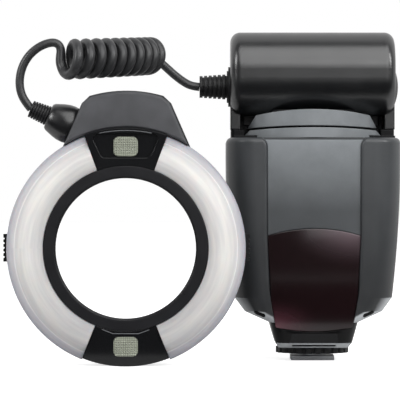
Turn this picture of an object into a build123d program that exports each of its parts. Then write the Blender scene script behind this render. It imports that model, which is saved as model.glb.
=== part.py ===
from build123d import *
import os
from math import cos, degrees, pi, radians, sin, sqrt, tan

# A macro ring flash: a control unit that stands on its shoe foot, a ring head that stands on its
# lower edge ahead of it, and the curly cord between them. Millimetres, Z up, the ring faces -Y.
# Names that end in share are ratios of the size beside them.

# Overall layout
unit_ring_spacing = 79.1
ring_front_ahead = 55.4
overrun = 1.0
seat_gap = 0.15
slide_gap = 0.2

# Control unit casing
case_half_width = 37.2
case_waist_half_width = 36.6
case_hip_half_width = 33.7
case_top = 95.4
case_waist = 62.0
case_hip = 27.3
case_front = 25.5
case_rear = 25.5
case_corner = 12.0
case_wall = 2.2
case_front_wall = 1.8
case_split = 17.5
case_top_round = 2.2
shoulder_half_width = 29.3
shoulder_height = 21.4
skirt_half_width = 18.8
skirt_height = 16.7
skirt_rear = 15.0
skirt_corner = 8.0
chin_waist = 12.2
chin_waist_half_width = 17.6
chin_bottom = 8.0
chin_half_width = 16.3
chin_setback = 1.1
chin_rear = 11.0
chin_corner = 6.0
chin_base_half_width = 14.9
chin_base_front = 17.0
chin_base_rear = 10.4
chin_base_corner = 4.0
chin_slot_width = 18.4
chin_slot_height = 0.7
chin_slot_share = 0.5
channel_floor = 22.6
channel_round = 0.9
channel_flare_height = 4.4
channel_flare_width = 2.3
wing_round = 1.2

# Front panel and sensor window
panel_front = 24.2
panel_top = 94.4
window_top_half_width = 19.7
window_mid_half_width = 18.3
window_low_half_width = 16.3
window_top = 56.6
window_side_top = 53.6
window_mid = 26.5
window_low = 14.8
window_bottom = 13.0
window_proud = 0.4
window_crown_radius = 220.0
window_aperture_share = 0.62

# Foot
foot_width = 18.6
foot_length = 17.6
foot_plate_thickness = 1.9
foot_neck_radius = 6.2
foot_edge = 0.5
wheel_radius = 15.7
wheel_bottom = 3.1
wheel_thickness = 2.5
wheel_notches = 24
wheel_notch_radius = 0.8
lock_pin_radius = 0.9
lock_pin_place = 4.4
contact_radius = 0.8
contact_pitch = 2.6

# Neck and barrel
collar_low_half_width = 30.5
collar_low_half_depth = 23.0
collar_low_top = 99.7
collar_low_shoulder = 27.0
collar_low_shoulder_height = 98.6
collar_up_half_width = 27.9
collar_up_top_half_width = 24.4
collar_up_half_depth = 20.0
collar_up_bottom = 100.6
collar_up_top = 107.5
collar_up_bottom_sag = 1.0
collar_up_top_sag = 2.4
neck_half_width = 22.0
neck_half_depth = 17.0
neck_inner_radius = 13.0
neck_plate_thickness = 0.9
neck_plate_half_depth = 14.0
ear_bottom = 99.2
ear_thickness = 4.2
ear_half_depth = 7.0
ear_round = 1.6
web_thickness = 2.4
web_back = 15.8
barrel_half_length = 35.3
barrel_top = 141.1
barrel_bottom = 105.0
barrel_half_depth = 18.0
barrel_corner = 16.0
barrel_end_round = 4.3
barrel_wall = 2.0
barrel_cap_radius = 8.6
barrel_cap_rise = 1.9
barrel_ring_thickness = 0.9
cord_axis_height = 117.7

# Battery bay
cell_radius = 7.1
cell_length = 49.2
cell_nub_radius = 2.7
cell_nub_length = 1.2
cell_pitch = 14.8
cell_end_round = 0.8
bay_centre_height = 67.6
bay_centre_ahead = 0.2
bay_wall = 1.2
bay_gap = 0.3
contact_thickness = 0.6
contact_carrier = 1.0
contact_inset = 4.4
door_bottom = 49.0
door_top = 85.0
door_front = 15.0
door_hinge_back = 18.4
door_hinge_side = 35.1
hinge_radius = 1.1
hinge_pin_radius = 0.55
hinge_clearance = 0.3
knuckle_count = 5
door_grip_ribs = 5
door_grip_pitch = 2.4
door_grip_depth = 0.5

# Rear controls
rear_panel_half_width = 24.5
rear_panel_bottom = 28.6
rear_panel_top = 89.0
rear_panel_thickness = 1.6
rear_panel_sink = 0.9
rear_panel_corner = 4.0
display_half_width = 18.6
display_bottom = 62.0
display_top = 85.5
display_rim = 2.6
display_corner = 2.0
display_glass = 1.3
button_proud = 0.9
button_travel = 0.5
button_flange = 0.7
button_flange_thickness = 0.7
button_round = 0.35
pad_height = 47.2
pad_reach = 7.6
set_button_radius = 3.2
arrow_button_radius = 2.6
key_reach = 17.6
key_rise = 5.4
key_button_radius = 2.8
switch_width = 7.0
switch_height = 4.0
switch_travel = 4.0
switch_place = 32.6
switch_cap_proud = 1.2
board_thickness = 1.6
board_front = 16.0
board_half_width = 27.0
board_bottom = 24.0
board_top = 91.0
mat_thickness = 2.4

# Works inside the unit
capacitor_radius = 8.6
capacitor_length = 40.0
capacitor_height = 38.4
transformer_width = 12.0
transformer_height = 14.0
transformer_place = 27.4
lamp_module_place = 36.0
lamp_dome_radius = 2.5
lamp_dome_pitch = 8.0

# Ring head
ring_radius = 49.7
ring_low_flat = 0.9
ring_depth = 24.0
ring_band_width = 15.6
ring_rim_width = 5.1
ring_collar_wall = 2.0
ring_collar_inset = 1.7
ring_entry_ease = 0.6
ring_seat_start = 7.6
ring_seat_length = 3.0
ring_stop_width = 0.8
ring_rim_thickness = 2.0
ring_rim_drop = 0.8
ring_rim_step = 0.6
rear_cover_depth = 10.0
rear_cover_inset = 0.4
ring_wall = 1.6
ring_floor = 1.8
ring_edge_round = 2.2
diffuser_shoulder = 3.5
diffuser_shoulder_drop = 6.6
diffuser_inner_drop = 1.1
diffuser_crown_reach = 6.9
top_block_half_angle = 20.0
bottom_block_half_angle = 21.5
block_drop = 0.6
block_wall = 1.6
recess_depth = 1.1
recess_top_margin = 2.1
recess_bottom_margin = 3.2
recess_top_half_width = 14.9
recess_bottom_half_width = 10.0
recess_round = 2.4
lamp_window_half_width = 5.0
lamp_window_height = 8.0
top_window_inset = 7.6
bottom_window_inset = 9.1
lamp_window_round = 2.2
lamp_window_thickness = 1.4
lamp_flange = 0.5

# Flash works in the ring
tube_inset = 8.1
tube_radius = 2.1
tube_half_angle = 60.0
holder_half_width = 3.2
holder_angle = 5.0
reflector_inner_gap = 2.1
reflector_floor_half_width = 3.0
reflector_wall = 0.6
reflector_rise = 1.0
reflector_depth = 6.0
lamp_board_thickness = 1.2
led_half_width = 1.6
led_height = 1.6
ring_board_half_width = 11.0
ring_board_gap = 2.3
trigger_coil_radius = 2.8
trigger_coil_length = 10.0

# Hump with the cord gland
hump_rise = 16.0
hump_shoulder_rise = 13.8
hump_shoulder_half_width = 15.4
hump_cheek_rise = 10.7
hump_cheek_half_width = 18.7
hump_foot_sink = 9.7
hump_foot_half_width = 27.6
hump_drop = 3.4
hump_edge_round = 1.6
hump_cover_inset = 0.7
gland_side = -28.1
gland_rise = 3.5
gland_drop = 12.0
gland_rise_angle = 22.5
gland_radius = 7.2
gland_length = 4.6
gland_root = 5.0
gland_round = 1.9

# Release latches
release_half_width = 5.8
release_height = 6.0
release_place_height = 5.0
release_proud = 1.9
release_ribs = 6
release_rib_depth = 0.5
release_body = 4.6
latch_gap = 3.5
latch_width = 3.0
latch_thickness = 1.2
latch_hook_half_width = 3.2
latch_hook_bite = 0.5
latch_heights = (3.2, 5.4)

# Screws
screw_radius = 1.0
screw_head_radius = 1.9
screw_head_height = 1.3
screw_slot_width = 0.6
ring_screw_length = 8.0
ring_screw_inset = 6.7
ring_screw_turn = 12.0
screw_pad_radius = 3.0
screw_boss_radius = 2.2
screw_seat = 1.4
hump_screw_side = 15.0
hump_screw_rise = 5.9
case_screw_length = 21.0
case_screw_places = ((-28.6, 89.4), (28.6, 89.4), (-26.4, 36.4), (26.4, 36.4))
case_boss_radius = 2.6
case_boss_joint = 8.0

# Cord and strain reliefs
cord_diameter = 3.6
bend_share = 0.45
ring_relief_length = 8.0
ring_relief_radii = (4.2, 3.6)
ring_relief_ribs = 7
unit_relief_length = 12.4
unit_relief_radii = (5.5, 4.7)
unit_relief_ribs = 6
unit_relief_flange_radius = 6.9
unit_relief_flange = 0.6
relief_groove = 0.55
ring_lead_start = 3.3
ring_lead_points = (
    (-76.6, -29.4, 112.0),
    (-76.7, -29.4, 117.0),
    (-76.2, -29.4, 121.8),
    (-75.2, -29.4, 126.4),
    (-73.5, -29.4, 130.57),
)
unit_lead_start = 2.9
unit_lead_end = 3.3
unit_lead_place = (-8.9, 13.5, 119.7)
coil_radius = 6.35
coil_turns = 10
coil_first_turn = -0.5
coil_pitches = (5.2, 4.4)
coil_headings = (24.0, 62.0)
coil_rise = 3.1
coil_axis_start = (-57.2, -35.2, 127.1)
coil_in_place = (-69.3, -29.4, 131.8)
coil_in_direction = (0.96, 0.0, 0.28)
coil_back_place = (-27.12, 2.81, 125.87)
coil_back_direction = (0.1, 0.92, -0.37)
coil_out_place = (-17.63, 11.37, 127.24)
coil_out_direction = (0.73, 0.21, -0.65)

# Ring head, worked out from its radius and its depth
ring_low_radius = ring_radius - ring_low_flat
ring_rim_radius = ring_radius - ring_band_width
ring_opening_radius = ring_rim_radius - ring_rim_width
ring_collar_radius = ring_rim_radius - ring_collar_inset
ring_seat_radius = ring_collar_radius - ring_collar_wall
ring_rim_front = ring_depth - ring_rim_drop
diffuser_shoulder_height = ring_depth - diffuser_shoulder_drop
diffuser_inner_height = ring_depth - diffuser_inner_drop
diffuser_crown = ring_rim_radius + diffuser_crown_reach
block_front = ring_depth - block_drop
recess_top = ring_radius - recess_top_margin
recess_bottom = ring_rim_radius + recess_bottom_margin
top_window_place = ring_radius - top_window_inset
bottom_window_place = ring_radius - bottom_window_inset
reflector_floor = rear_cover_depth + reflector_rise
reflector_top = reflector_floor + reflector_depth
tube_orbit = ring_radius - tube_inset
tube_height = reflector_floor + reflector_wall + tube_radius + 2 * slide_gap
reflector_inner = ring_rim_radius + reflector_inner_gap
reflector_floor_inner = tube_orbit - reflector_floor_half_width
reflector_floor_outer = tube_orbit + reflector_floor_half_width
ring_board_bottom = ring_radius + ring_board_gap
hump_top = ring_radius + hump_rise
hump_shoulder = ring_radius + hump_shoulder_rise
hump_cheek = ring_radius + hump_cheek_rise
hump_foot = ring_radius - hump_foot_sink
hump_front = ring_depth - hump_drop
gland_place = (gland_side, ring_radius + gland_rise)
gland_height = ring_depth - gland_drop
latch_orbit = ring_rim_radius + latch_gap
ring_screw_orbit = ring_radius - ring_screw_inset
hump_screws = [(side * hump_screw_side, ring_radius + hump_screw_rise) for side in (-1, 1)]

# Places worked out from the layout
rear_reach = case_rear - rear_panel_sink + rear_panel_thickness + switch_cap_proud
unit_x = (ring_radius + release_proud + unit_ring_spacing - case_half_width) / 2
ring_x = unit_x - unit_ring_spacing
unit_y = (ring_front_ahead - rear_reach) / 2
ring_back_y = unit_y - ring_front_ahead + ring_depth
ring_z = ring_low_radius
case_deep = case_front + case_rear
panel_floor = case_rear - rear_panel_sink
panel_face = panel_floor + rear_panel_thickness
ring_axis = Axis((ring_x, ring_back_y, ring_z), (0, -1, 0))


def write(piece, name):
    """Label one finished piece and write its STEP file."""
    piece.part.label = name
    export_step(piece.part, f"parts/{name}.step")


def unit_plane(ahead):
    """Upright plane that faces forward, the given distance ahead of the foot's axis."""
    return Plane(origin=(unit_x, unit_y - ahead, 0), x_dir=(1, 0, 0), z_dir=(0, -1, 0))


def level_plane(height):
    """Level plane centred on the foot's axis."""
    return Plane(origin=(unit_x, unit_y, height))


def side_plane(side):
    """Upright plane that faces the unit's +X side: x runs to the back and y up."""
    return Plane(origin=(unit_x + side, unit_y, 0), x_dir=(0, 1, 0), z_dir=(1, 0, 0))


def ring_plane(height):
    """Upright plane that faces forward, the given height in front of the ring's back."""
    return Plane(origin=(ring_x, ring_back_y - height, ring_z), x_dir=(1, 0, 0), z_dir=(0, -1, 0))


def ring_section(angle):
    """Half plane through the ring's axis: x runs outward and y forward."""
    across, up = cos(radians(angle)), sin(radians(angle))
    return Plane(origin=(ring_x, ring_back_y, ring_z), x_dir=(across, 0, up), z_dir=(up, 0, -across))


def cord_plane(origin, direction):
    """Plane across a cord or strain relief, which runs along its normal in the XZ plane."""
    return Plane(origin=origin, x_dir=(0, 1, 0), z_dir=direction)


def pad_on(plane, width, height, depth, place=(0, 0), corner=0.0, mode=Mode.ADD):
    """Raise or cut a rectangle from a plane in the open part."""
    with BuildSketch(plane) as outline:
        with Locations(place):
            if corner:
                RectangleRounded(width, height, corner)
            else:
                Rectangle(width, height)
    extrude(outline.sketch, amount=depth, mode=mode)


def disc_on(plane, radius, depth, places=((0, 0),), mode=Mode.ADD):
    """Raise or cut round discs from a plane in the open part."""
    with BuildSketch(plane) as outline:
        with Locations(*places):
            Circle(radius)
    extrude(outline.sketch, amount=depth, mode=mode)


def casing_span(sections, ruled):
    """Loft through plan sections: height, half width, front, rear and corner."""
    with BuildPart() as span:
        for height, half_width, front, rear, corner in sections:
            with BuildSketch(Plane(origin=(unit_x, unit_y + (rear - front) / 2, height))):
                RectangleRounded(2 * half_width, front + rear, corner)
        loft(ruled=ruled)
    return span.part


def casing_form(inset, front_inset):
    """Closed form of the casing above the chin, drawn in on every side."""
    front = case_front - front_inset
    rear = case_rear - inset
    corner = case_corner - inset
    upper = [
        (case_top - inset, case_half_width - inset, front, rear, corner),
        (case_waist, case_waist_half_width - inset, front, rear, corner),
        (case_hip, case_hip_half_width - inset, front, rear, corner),
    ]
    lower = upper[2:] + [
        (shoulder_height, shoulder_half_width - inset, front, rear - case_wall, corner - case_wall),
        (skirt_height + inset, skirt_half_width - inset, front, skirt_rear - inset, skirt_corner - inset),
    ]
    with BuildPart() as form:
        add(casing_span(upper, False))
        add(casing_span(lower, True))
        if not inset:
            fillet(form.faces().sort_by(Axis.Z)[-1].edges(), case_top_round)
    return form.part


def window_outline(grow):
    """Face of the sensor window, grown on every side, in a plane that faces forward."""
    top, side_top, low, bottom = window_top + grow, window_side_top + grow, window_low, window_bottom - grow
    top_half = window_top_half_width + grow
    mid_half = window_mid_half_width + grow
    low_half = window_low_half_width + grow
    with BuildSketch() as face:
        with BuildLine():
            ThreePointArc((-top_half, side_top), (0, top), (top_half, side_top))
            Line((top_half, side_top), (mid_half, window_mid))
            Line((mid_half, window_mid), (low_half, low))
            ThreePointArc((low_half, low), (0, bottom), (-low_half, low))
            Line((-low_half, low), (-mid_half, window_mid))
            Line((-mid_half, window_mid), (-top_half, side_top))
        make_face()
    return face.sketch


def channel_outline(grow):
    """Face of the channel above the sensor window, which flares at the casing's top, grown on its sides."""
    half = window_top_half_width + grow
    flare = half + channel_flare_width
    foot = case_top - channel_flare_height
    with BuildSketch() as face:
        with BuildLine():
            for side in (-1, 1):
                Line((side * half, window_side_top), (side * half, foot))
                TangentArc((side * half, foot), (side * flare, case_top), tangent=(0, 1))
                Line((side * flare, case_top), (side * flare, case_top + overrun))
            Line((-flare, case_top + overrun), (flare, case_top + overrun))
            Line((-half, window_side_top), (half, window_side_top))
        make_face()
    return face.sketch


def hinge_knuckles(indices, panel_side):
    """Hinge knuckles of the door or of the shell, with their lugs, in the open part."""
    pitch = (door_top - door_bottom) / knuckle_count
    reach = hinge_radius + hinge_clearance + case_wall / 2
    for index in indices:
        low = door_bottom + index * pitch + slide_gap / 2
        plane = Plane(origin=(unit_x + door_hinge_side, unit_y + door_hinge_back, low))
        disc_on(plane, hinge_radius, pitch - slide_gap)
        lug = (-case_wall / 2, panel_side * reach / 2)
        pad_on(plane, case_wall, reach, pitch - slide_gap, place=lug)


def door_cut(grow):
    """Solid box of the door's place in the casing's side, grown on its free edges."""
    back = door_hinge_back - hinge_radius - hinge_clearance
    with BuildPart() as cut:
        pad_on(
            side_plane(case_half_width / 2),
            door_front + back + grow,
            door_top - door_bottom + 2 * grow,
            case_half_width,
            place=((back - door_front - grow) / 2, (door_top + door_bottom) / 2),
        )
    return cut.part


def wing_edges(edges):
    """The edges between the wings' front and the channel down to the window's waist, out of all the edges."""
    inner, outer = window_low_half_width - overrun, window_top_half_width + channel_flare_width
    return [
        edge
        for edge in edges
        if abs(edge.center().Y - unit_y + case_front) < seat_gap / 10
        and inner < abs(edge.center().X - unit_x) < outer
        and edge.center().Z > window_mid
    ]


def make_front_shell(outer, inner):
    """Front half of the casing, with the channel for the panel and the sensor window."""
    with BuildPart() as front_shell:
        add(outer)
        add(inner, mode=Mode.SUBTRACT)
        split(bisect_by=unit_plane(case_split), keep=Keep.TOP)
        extrude(unit_plane(channel_floor) * channel_outline(seat_gap), amount=case_front, mode=Mode.SUBTRACT)
        extrude(unit_plane(channel_floor) * window_outline(seat_gap), amount=case_front, mode=Mode.SUBTRACT)
        fillet(wing_edges(front_shell.edges()), wing_round)
        pad_on(
            unit_plane(channel_floor),
            2 * window_mid_half_width * window_aperture_share,
            (window_side_top - window_mid) * window_aperture_share,
            -case_front_wall - overrun,
            place=(0, lamp_module_place),
            corner=channel_round,
            mode=Mode.SUBTRACT,
        )
        boss_length = channel_floor - case_front_wall - case_boss_joint
        boss_plane = unit_plane(case_boss_joint)
        disc_on(boss_plane, case_boss_radius, boss_length + overrun, places=case_screw_places)
        screw_depth = case_screw_length - (panel_floor - screw_head_height) - case_boss_joint
        disc_on(boss_plane, screw_radius, screw_depth, places=case_screw_places, mode=Mode.SUBTRACT)
    write(front_shell, "front_shell")


def rear_openings():
    """Places, radii and names of the round keys on the rear panel."""
    keys = {
        "set_button": ((0, pad_height), set_button_radius),
        "left_button": ((-pad_reach, pad_height), arrow_button_radius),
        "right_button": ((pad_reach, pad_height), arrow_button_radius),
        "mode_button": ((-key_reach, pad_height + key_rise), key_button_radius),
        "lamp_button": ((key_reach, pad_height + key_rise), key_button_radius),
        "test_button": ((key_reach, pad_height - key_rise), key_button_radius),
    }
    return keys


def make_rear_shell(outer, inner):
    """Rear half of the casing, open at the door, the display, the keys and the switch."""
    boss_end = case_rear - case_wall + overrun
    head_seat = panel_floor - screw_head_height
    with BuildPart() as rear_shell:
        add(outer)
        add(inner, mode=Mode.SUBTRACT)
        split(bisect_by=unit_plane(case_split), keep=Keep.BOTTOM)
        add(door_cut(seat_gap), mode=Mode.SUBTRACT)
        hinge_back = door_hinge_back + hinge_radius + hinge_clearance
        pad_on(
            Plane(origin=(unit_x + door_hinge_side, unit_y + door_hinge_back, door_bottom - seat_gap)),
            2 * (case_wall + hinge_radius),
            2 * (hinge_back - door_hinge_back),
            door_top - door_bottom + 2 * seat_gap,
            mode=Mode.SUBTRACT,
        )
        hinge_knuckles(range(0, knuckle_count, 2), 1)
        disc_on(
            Plane(origin=(unit_x + door_hinge_side, unit_y + door_hinge_back, door_bottom - case_wall)),
            hinge_pin_radius,
            door_top - door_bottom + 2 * case_wall,
            mode=Mode.SUBTRACT,
        )
        pad_on(
            unit_plane(-panel_floor),
            2 * rear_panel_half_width,
            rear_panel_top - rear_panel_bottom,
            -case_rear,
            place=(0, (rear_panel_top + rear_panel_bottom) / 2),
            corner=rear_panel_corner,
            mode=Mode.SUBTRACT,
        )
        pad_on(
            unit_plane(0),
            2 * (display_half_width - display_rim),
            display_top - display_bottom - 2 * display_rim,
            -case_deep,
            place=(0, (display_top + display_bottom) / 2),
            mode=Mode.SUBTRACT,
        )
        for place, radius in rear_openings().values():
            disc_on(unit_plane(0), radius + slide_gap, -case_deep, places=(place,), mode=Mode.SUBTRACT)
        pad_on(
            unit_plane(0),
            switch_width + switch_travel + 2 * slide_gap,
            switch_height + 2 * slide_gap,
            -case_deep,
            place=(0, switch_place),
            mode=Mode.SUBTRACT,
        )
        boss_plane = unit_plane(case_boss_joint)
        disc_on(boss_plane, case_boss_radius, -boss_end - case_boss_joint, places=case_screw_places)
        disc_on(
            unit_plane(case_boss_joint + overrun), screw_radius, -case_deep, places=case_screw_places,
            mode=Mode.SUBTRACT,
        )
        disc_on(
            unit_plane(-head_seat), screw_head_radius + slide_gap, -case_rear, places=case_screw_places,
            mode=Mode.SUBTRACT,
        )
    write(rear_shell, "rear_shell")


def screw_solid(plane, length, places, name):
    """Pan head screws, one solid each, with a cross slot; the plane lies under the heads."""
    with BuildPart() as screws:
        disc_on(plane, screw_radius, -length, places=places)
        disc_on(plane, screw_head_radius, screw_head_height, places=places)
        slot_plane = plane.offset(screw_head_height)
        for place in places:
            slot = (screw_head_radius, screw_slot_width)
            pad_on(slot_plane, slot[0], slot[1], -screw_head_height / 2, place=place, mode=Mode.SUBTRACT)
            pad_on(slot_plane, slot[1], slot[0], -screw_head_height / 2, place=place, mode=Mode.SUBTRACT)
    write(screws, name)


def back_plane(back):
    """Upright plane that faces backward at a distance behind the foot's axis; x runs to -X."""
    return Plane(origin=(unit_x, unit_y + back, 0), x_dir=(-1, 0, 0), z_dir=(0, 1, 0))


def make_case_screws():
    """Four screws that join the halves of the casing from behind."""
    places = [(-side, height) for side, height in case_screw_places]
    screw_solid(back_plane(panel_floor - screw_head_height), case_screw_length, places, "case_screws")


def make_front_pieces():
    """Front panel and sensor window, laid in the channel of the front shell."""
    with BuildPart() as centre_panel:
        extrude(unit_plane(channel_floor) * channel_outline(0), amount=panel_front - channel_floor)
        window = unit_plane(channel_floor - overrun) * window_outline(seat_gap)
        extrude(window, amount=case_front, mode=Mode.SUBTRACT)
        pad_on(level_plane(panel_top), case_deep * 2, case_deep * 2, case_top, mode=Mode.SUBTRACT)
    write(centre_panel, "centre_panel")

    with BuildPart() as sensor_window:
        window_front = case_front + window_proud
        extrude(unit_plane(channel_floor) * window_outline(0), amount=window_front - channel_floor)
        crown_centre = unit_y - window_front + window_crown_radius
        with Locations((unit_x, crown_centre, (window_top + window_bottom) / 2)):
            Sphere(window_crown_radius, mode=Mode.INTERSECT)
    write(sensor_window, "sensor_window")


def make_chin():
    """Lower cover below the casing, which the sensor window runs down over, on the foot."""
    base = wheel_bottom + wheel_thickness + seat_gap
    slot_height = base + (chin_bottom - base) * chin_slot_share
    slot_floor = chin_base_front
    with BuildPart() as chin_cover:
        sections = [
            (skirt_height, skirt_half_width, case_front, skirt_rear, skirt_corner),
            (chin_waist, chin_waist_half_width, case_front, skirt_rear - case_wall, skirt_corner),
            (chin_bottom, chin_half_width, case_front - chin_setback, chin_rear, chin_corner),
            (base, chin_base_half_width, chin_base_front, chin_base_rear, chin_base_corner),
        ]
        add(casing_span(sections, True))
        extrude(unit_plane(channel_floor) * window_outline(seat_gap), amount=case_front, mode=Mode.SUBTRACT)
        pad_on(
            unit_plane(slot_floor), chin_slot_width, chin_slot_height, case_front, place=(0, slot_height),
            mode=Mode.SUBTRACT,
        )
        disc_on(level_plane(base), foot_neck_radius, chin_bottom - base, mode=Mode.SUBTRACT)
        disc_on(level_plane(chin_bottom - overrun), foot_neck_radius / 2, skirt_height, mode=Mode.SUBTRACT)
    write(chin_cover, "chin_cover")


def make_foot():
    """Shoe foot: plate and neck, lock wheel, lock pin and contacts."""
    wheel_top = wheel_bottom + wheel_thickness
    pin_place = (0, -lock_pin_place)
    contacts = [(0, 0)] + [(side * contact_pitch, contact_pitch) for side in (-1, 0, 1)]
    with BuildPart() as foot_plate:
        pad_on(level_plane(0), foot_width, foot_length, foot_plate_thickness)
        chamfer(foot_plate.edges().filter_by(Axis.Z), foot_edge)
        disc_on(level_plane(foot_plate_thickness), foot_neck_radius, chin_bottom - foot_plate_thickness)
        bore = lock_pin_radius + slide_gap / 2
        disc_on(level_plane(0), bore, wheel_top, places=(pin_place,), mode=Mode.SUBTRACT)
        disc_on(level_plane(0), contact_radius, foot_plate_thickness / 2, places=contacts, mode=Mode.SUBTRACT)
    write(foot_plate, "foot_plate")

    with BuildPart() as lock_wheel:
        disc_on(level_plane(wheel_bottom), wheel_radius, wheel_thickness)
        disc_on(level_plane(wheel_bottom), foot_neck_radius + slide_gap, wheel_thickness, mode=Mode.SUBTRACT)
        with BuildSketch(level_plane(wheel_bottom)):
            with PolarLocations(wheel_radius, wheel_notches):
                Circle(wheel_notch_radius)
        extrude(amount=wheel_thickness, mode=Mode.SUBTRACT)
    write(lock_wheel, "lock_wheel")

    with BuildPart() as lock_pin:
        disc_on(level_plane(seat_gap), lock_pin_radius, wheel_bottom, places=(pin_place,))
        tip = lock_pin.faces().sort_by(Axis.Z)[0].edges()
        chamfer(tip, lock_pin_radius / 2)
    write(lock_pin, "lock_pin")

    with BuildPart() as shoe_contacts:
        contact_height = foot_plate_thickness / 2 - seat_gap / 2
        disc_on(level_plane(seat_gap / 2), contact_radius, contact_height, places=contacts)
    write(shoe_contacts, "shoe_contacts")


def make_collar(name, low, half_width, shoulder, shoulder_height, top, half_depth, bottom_sag):
    """One crowned collar of the neck: its front outline, rounded in plan and bored for the neck."""
    with BuildPart() as collar:
        with BuildSketch(unit_plane(-half_depth)):
            with BuildLine():
                ThreePointArc((-shoulder, shoulder_height), (0, top), (shoulder, shoulder_height))
                Line((shoulder, shoulder_height), (half_width, low - bottom_sag))
                if bottom_sag:
                    ThreePointArc((half_width, low - bottom_sag), (0, low), (-half_width, low - bottom_sag))
                else:
                    Line((half_width, low), (-half_width, low))
                Line((-half_width, low - bottom_sag), (-shoulder, shoulder_height))
            make_face()
        extrude(amount=2 * half_depth)
        with BuildSketch(level_plane(low - bottom_sag)):
            Ellipse(half_width, half_depth)
        extrude(amount=top - low + bottom_sag, mode=Mode.INTERSECT)
        with BuildSketch(level_plane(low - bottom_sag - overrun)):
            Ellipse(neck_half_width, neck_half_depth)
        extrude(amount=barrel_top, mode=Mode.SUBTRACT)
        add(barrel_body(0), mode=Mode.SUBTRACT)
        if not bottom_sag:
            pad_on(
                level_plane(low), 2 * half_width, 2 * (neck_plate_half_depth + seat_gap),
                neck_plate_thickness + seat_gap, mode=Mode.SUBTRACT,
            )
    write(collar, name)


def barrel_body(inset):
    """Plain barrel across the top of the unit, drawn in by inset."""
    height = barrel_top - barrel_bottom
    with BuildPart() as body:
        pad_on(
            side_plane(-barrel_half_length + inset),
            2 * (barrel_half_depth - inset),
            height - 2 * inset,
            2 * (barrel_half_length - inset),
            place=(0, (barrel_top + barrel_bottom) / 2),
            corner=barrel_corner - inset,
        )
        ends = body.faces().filter_by(Axis.X)
        if not inset:
            fillet(ends.edges(), barrel_end_round)
    return body.part


def make_neck():
    """Neck tube with its foot plate, between the casing and the barrel."""
    with BuildPart() as neck_tube:
        tube_bottom = case_top + neck_plate_thickness
        with BuildSketch(level_plane(tube_bottom)):
            Ellipse(neck_half_width, neck_half_depth)
        extrude(amount=collar_up_top - tube_bottom)
        add(barrel_body(0), mode=Mode.SUBTRACT)
        disc_on(level_plane(case_top - overrun), neck_inner_radius, barrel_top, mode=Mode.SUBTRACT)
    write(neck_tube, "neck_tube")

    with BuildPart() as neck_plate:
        plate_width = 2 * (barrel_half_length - seat_gap)
        foot_height = ear_bottom - case_top - seat_gap
        plate_plane = level_plane(case_top)
        pad_on(plate_plane, plate_width, 2 * neck_plate_half_depth, neck_plate_thickness, corner=ear_round)
        pad_on(plate_plane, plate_width, 2 * ear_half_depth, foot_height, corner=ear_round)
        with BuildSketch(level_plane(case_top + neck_plate_thickness)):
            Ellipse(collar_low_half_width + seat_gap, collar_low_half_depth + seat_gap)
        extrude(amount=collar_low_top - case_top, mode=Mode.SUBTRACT)
        disc_on(level_plane(case_top), neck_inner_radius, collar_low_top, mode=Mode.SUBTRACT)
    write(neck_plate, "neck_plate")


def make_barrel():
    """Barrel housing with its ears and the two webs behind the collars, and the two end caps."""
    cap_height = cord_axis_height
    web_front_share = (web_back - web_thickness) / collar_up_half_depth
    web_inner = (collar_up_half_width + slide_gap) * sqrt(1 - web_front_share**2)
    web_width = barrel_half_length - barrel_end_round - web_inner
    with BuildPart() as barrel_housing:
        add(barrel_body(0))
        for side in (-1, 1):
            pad_on(
                side_plane(side * barrel_half_length - (ear_thickness if side > 0 else 0)),
                2 * ear_half_depth,
                cap_height - ear_bottom,
                ear_thickness,
                place=(0, (cap_height + ear_bottom) / 2),
            )
            web_side = side * (barrel_half_length - barrel_end_round - web_width / 2)
            pad_on(
                level_plane(ear_bottom), web_width, web_thickness, cap_height - ear_bottom,
                place=(web_side, web_back - web_thickness / 2),
            )
        add(barrel_body(barrel_wall), mode=Mode.SUBTRACT)
        floor_plane = level_plane(barrel_bottom - overrun)
        disc_on(floor_plane, neck_inner_radius, barrel_wall + 2 * overrun, mode=Mode.SUBTRACT)
        disc_on(
            side_plane(-case_half_width), barrel_cap_radius / 2, 2 * case_half_width,
            places=((0, cap_height),), mode=Mode.SUBTRACT,
        )
    write(barrel_housing, "barrel_housing")

    with BuildPart() as barrel_cap_left:
        left_end = side_plane(-barrel_half_length)
        ring_places = ((0, cap_height),)
        disc_on(left_end, barrel_cap_radius, -barrel_ring_thickness, places=ring_places)
        disc_on(left_end, unit_relief_radii[0], -barrel_cap_rise, places=ring_places, mode=Mode.SUBTRACT)
    write(barrel_cap_left, "barrel_cap_left")

    dome_radius = (barrel_cap_radius**2 + barrel_cap_rise**2) / (2 * barrel_cap_rise)
    dome_middle = sqrt(dome_radius**2 - barrel_cap_radius**2 / 4) - dome_radius + barrel_cap_rise
    right_end = Vector(unit_x + barrel_half_length, unit_y, cap_height)
    with BuildPart() as barrel_cap_right:
        with BuildSketch(Plane(origin=right_end, x_dir=(0, 1, 0), z_dir=(0, 0, -1))):
            with BuildLine():
                rim_point, top_point = (barrel_cap_radius, 0), (0, barrel_cap_rise)
                Line((0, 0), rim_point)
                ThreePointArc(rim_point, (barrel_cap_radius / 2, dome_middle), top_point)
                Line(top_point, (0, 0))
            make_face()
        revolve(axis=Axis(right_end, (1, 0, 0)))
        disc_on(side_plane(barrel_half_length), barrel_cap_radius / 2, -barrel_wall, places=ring_places)
    write(barrel_cap_right, "barrel_cap_right")


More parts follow.
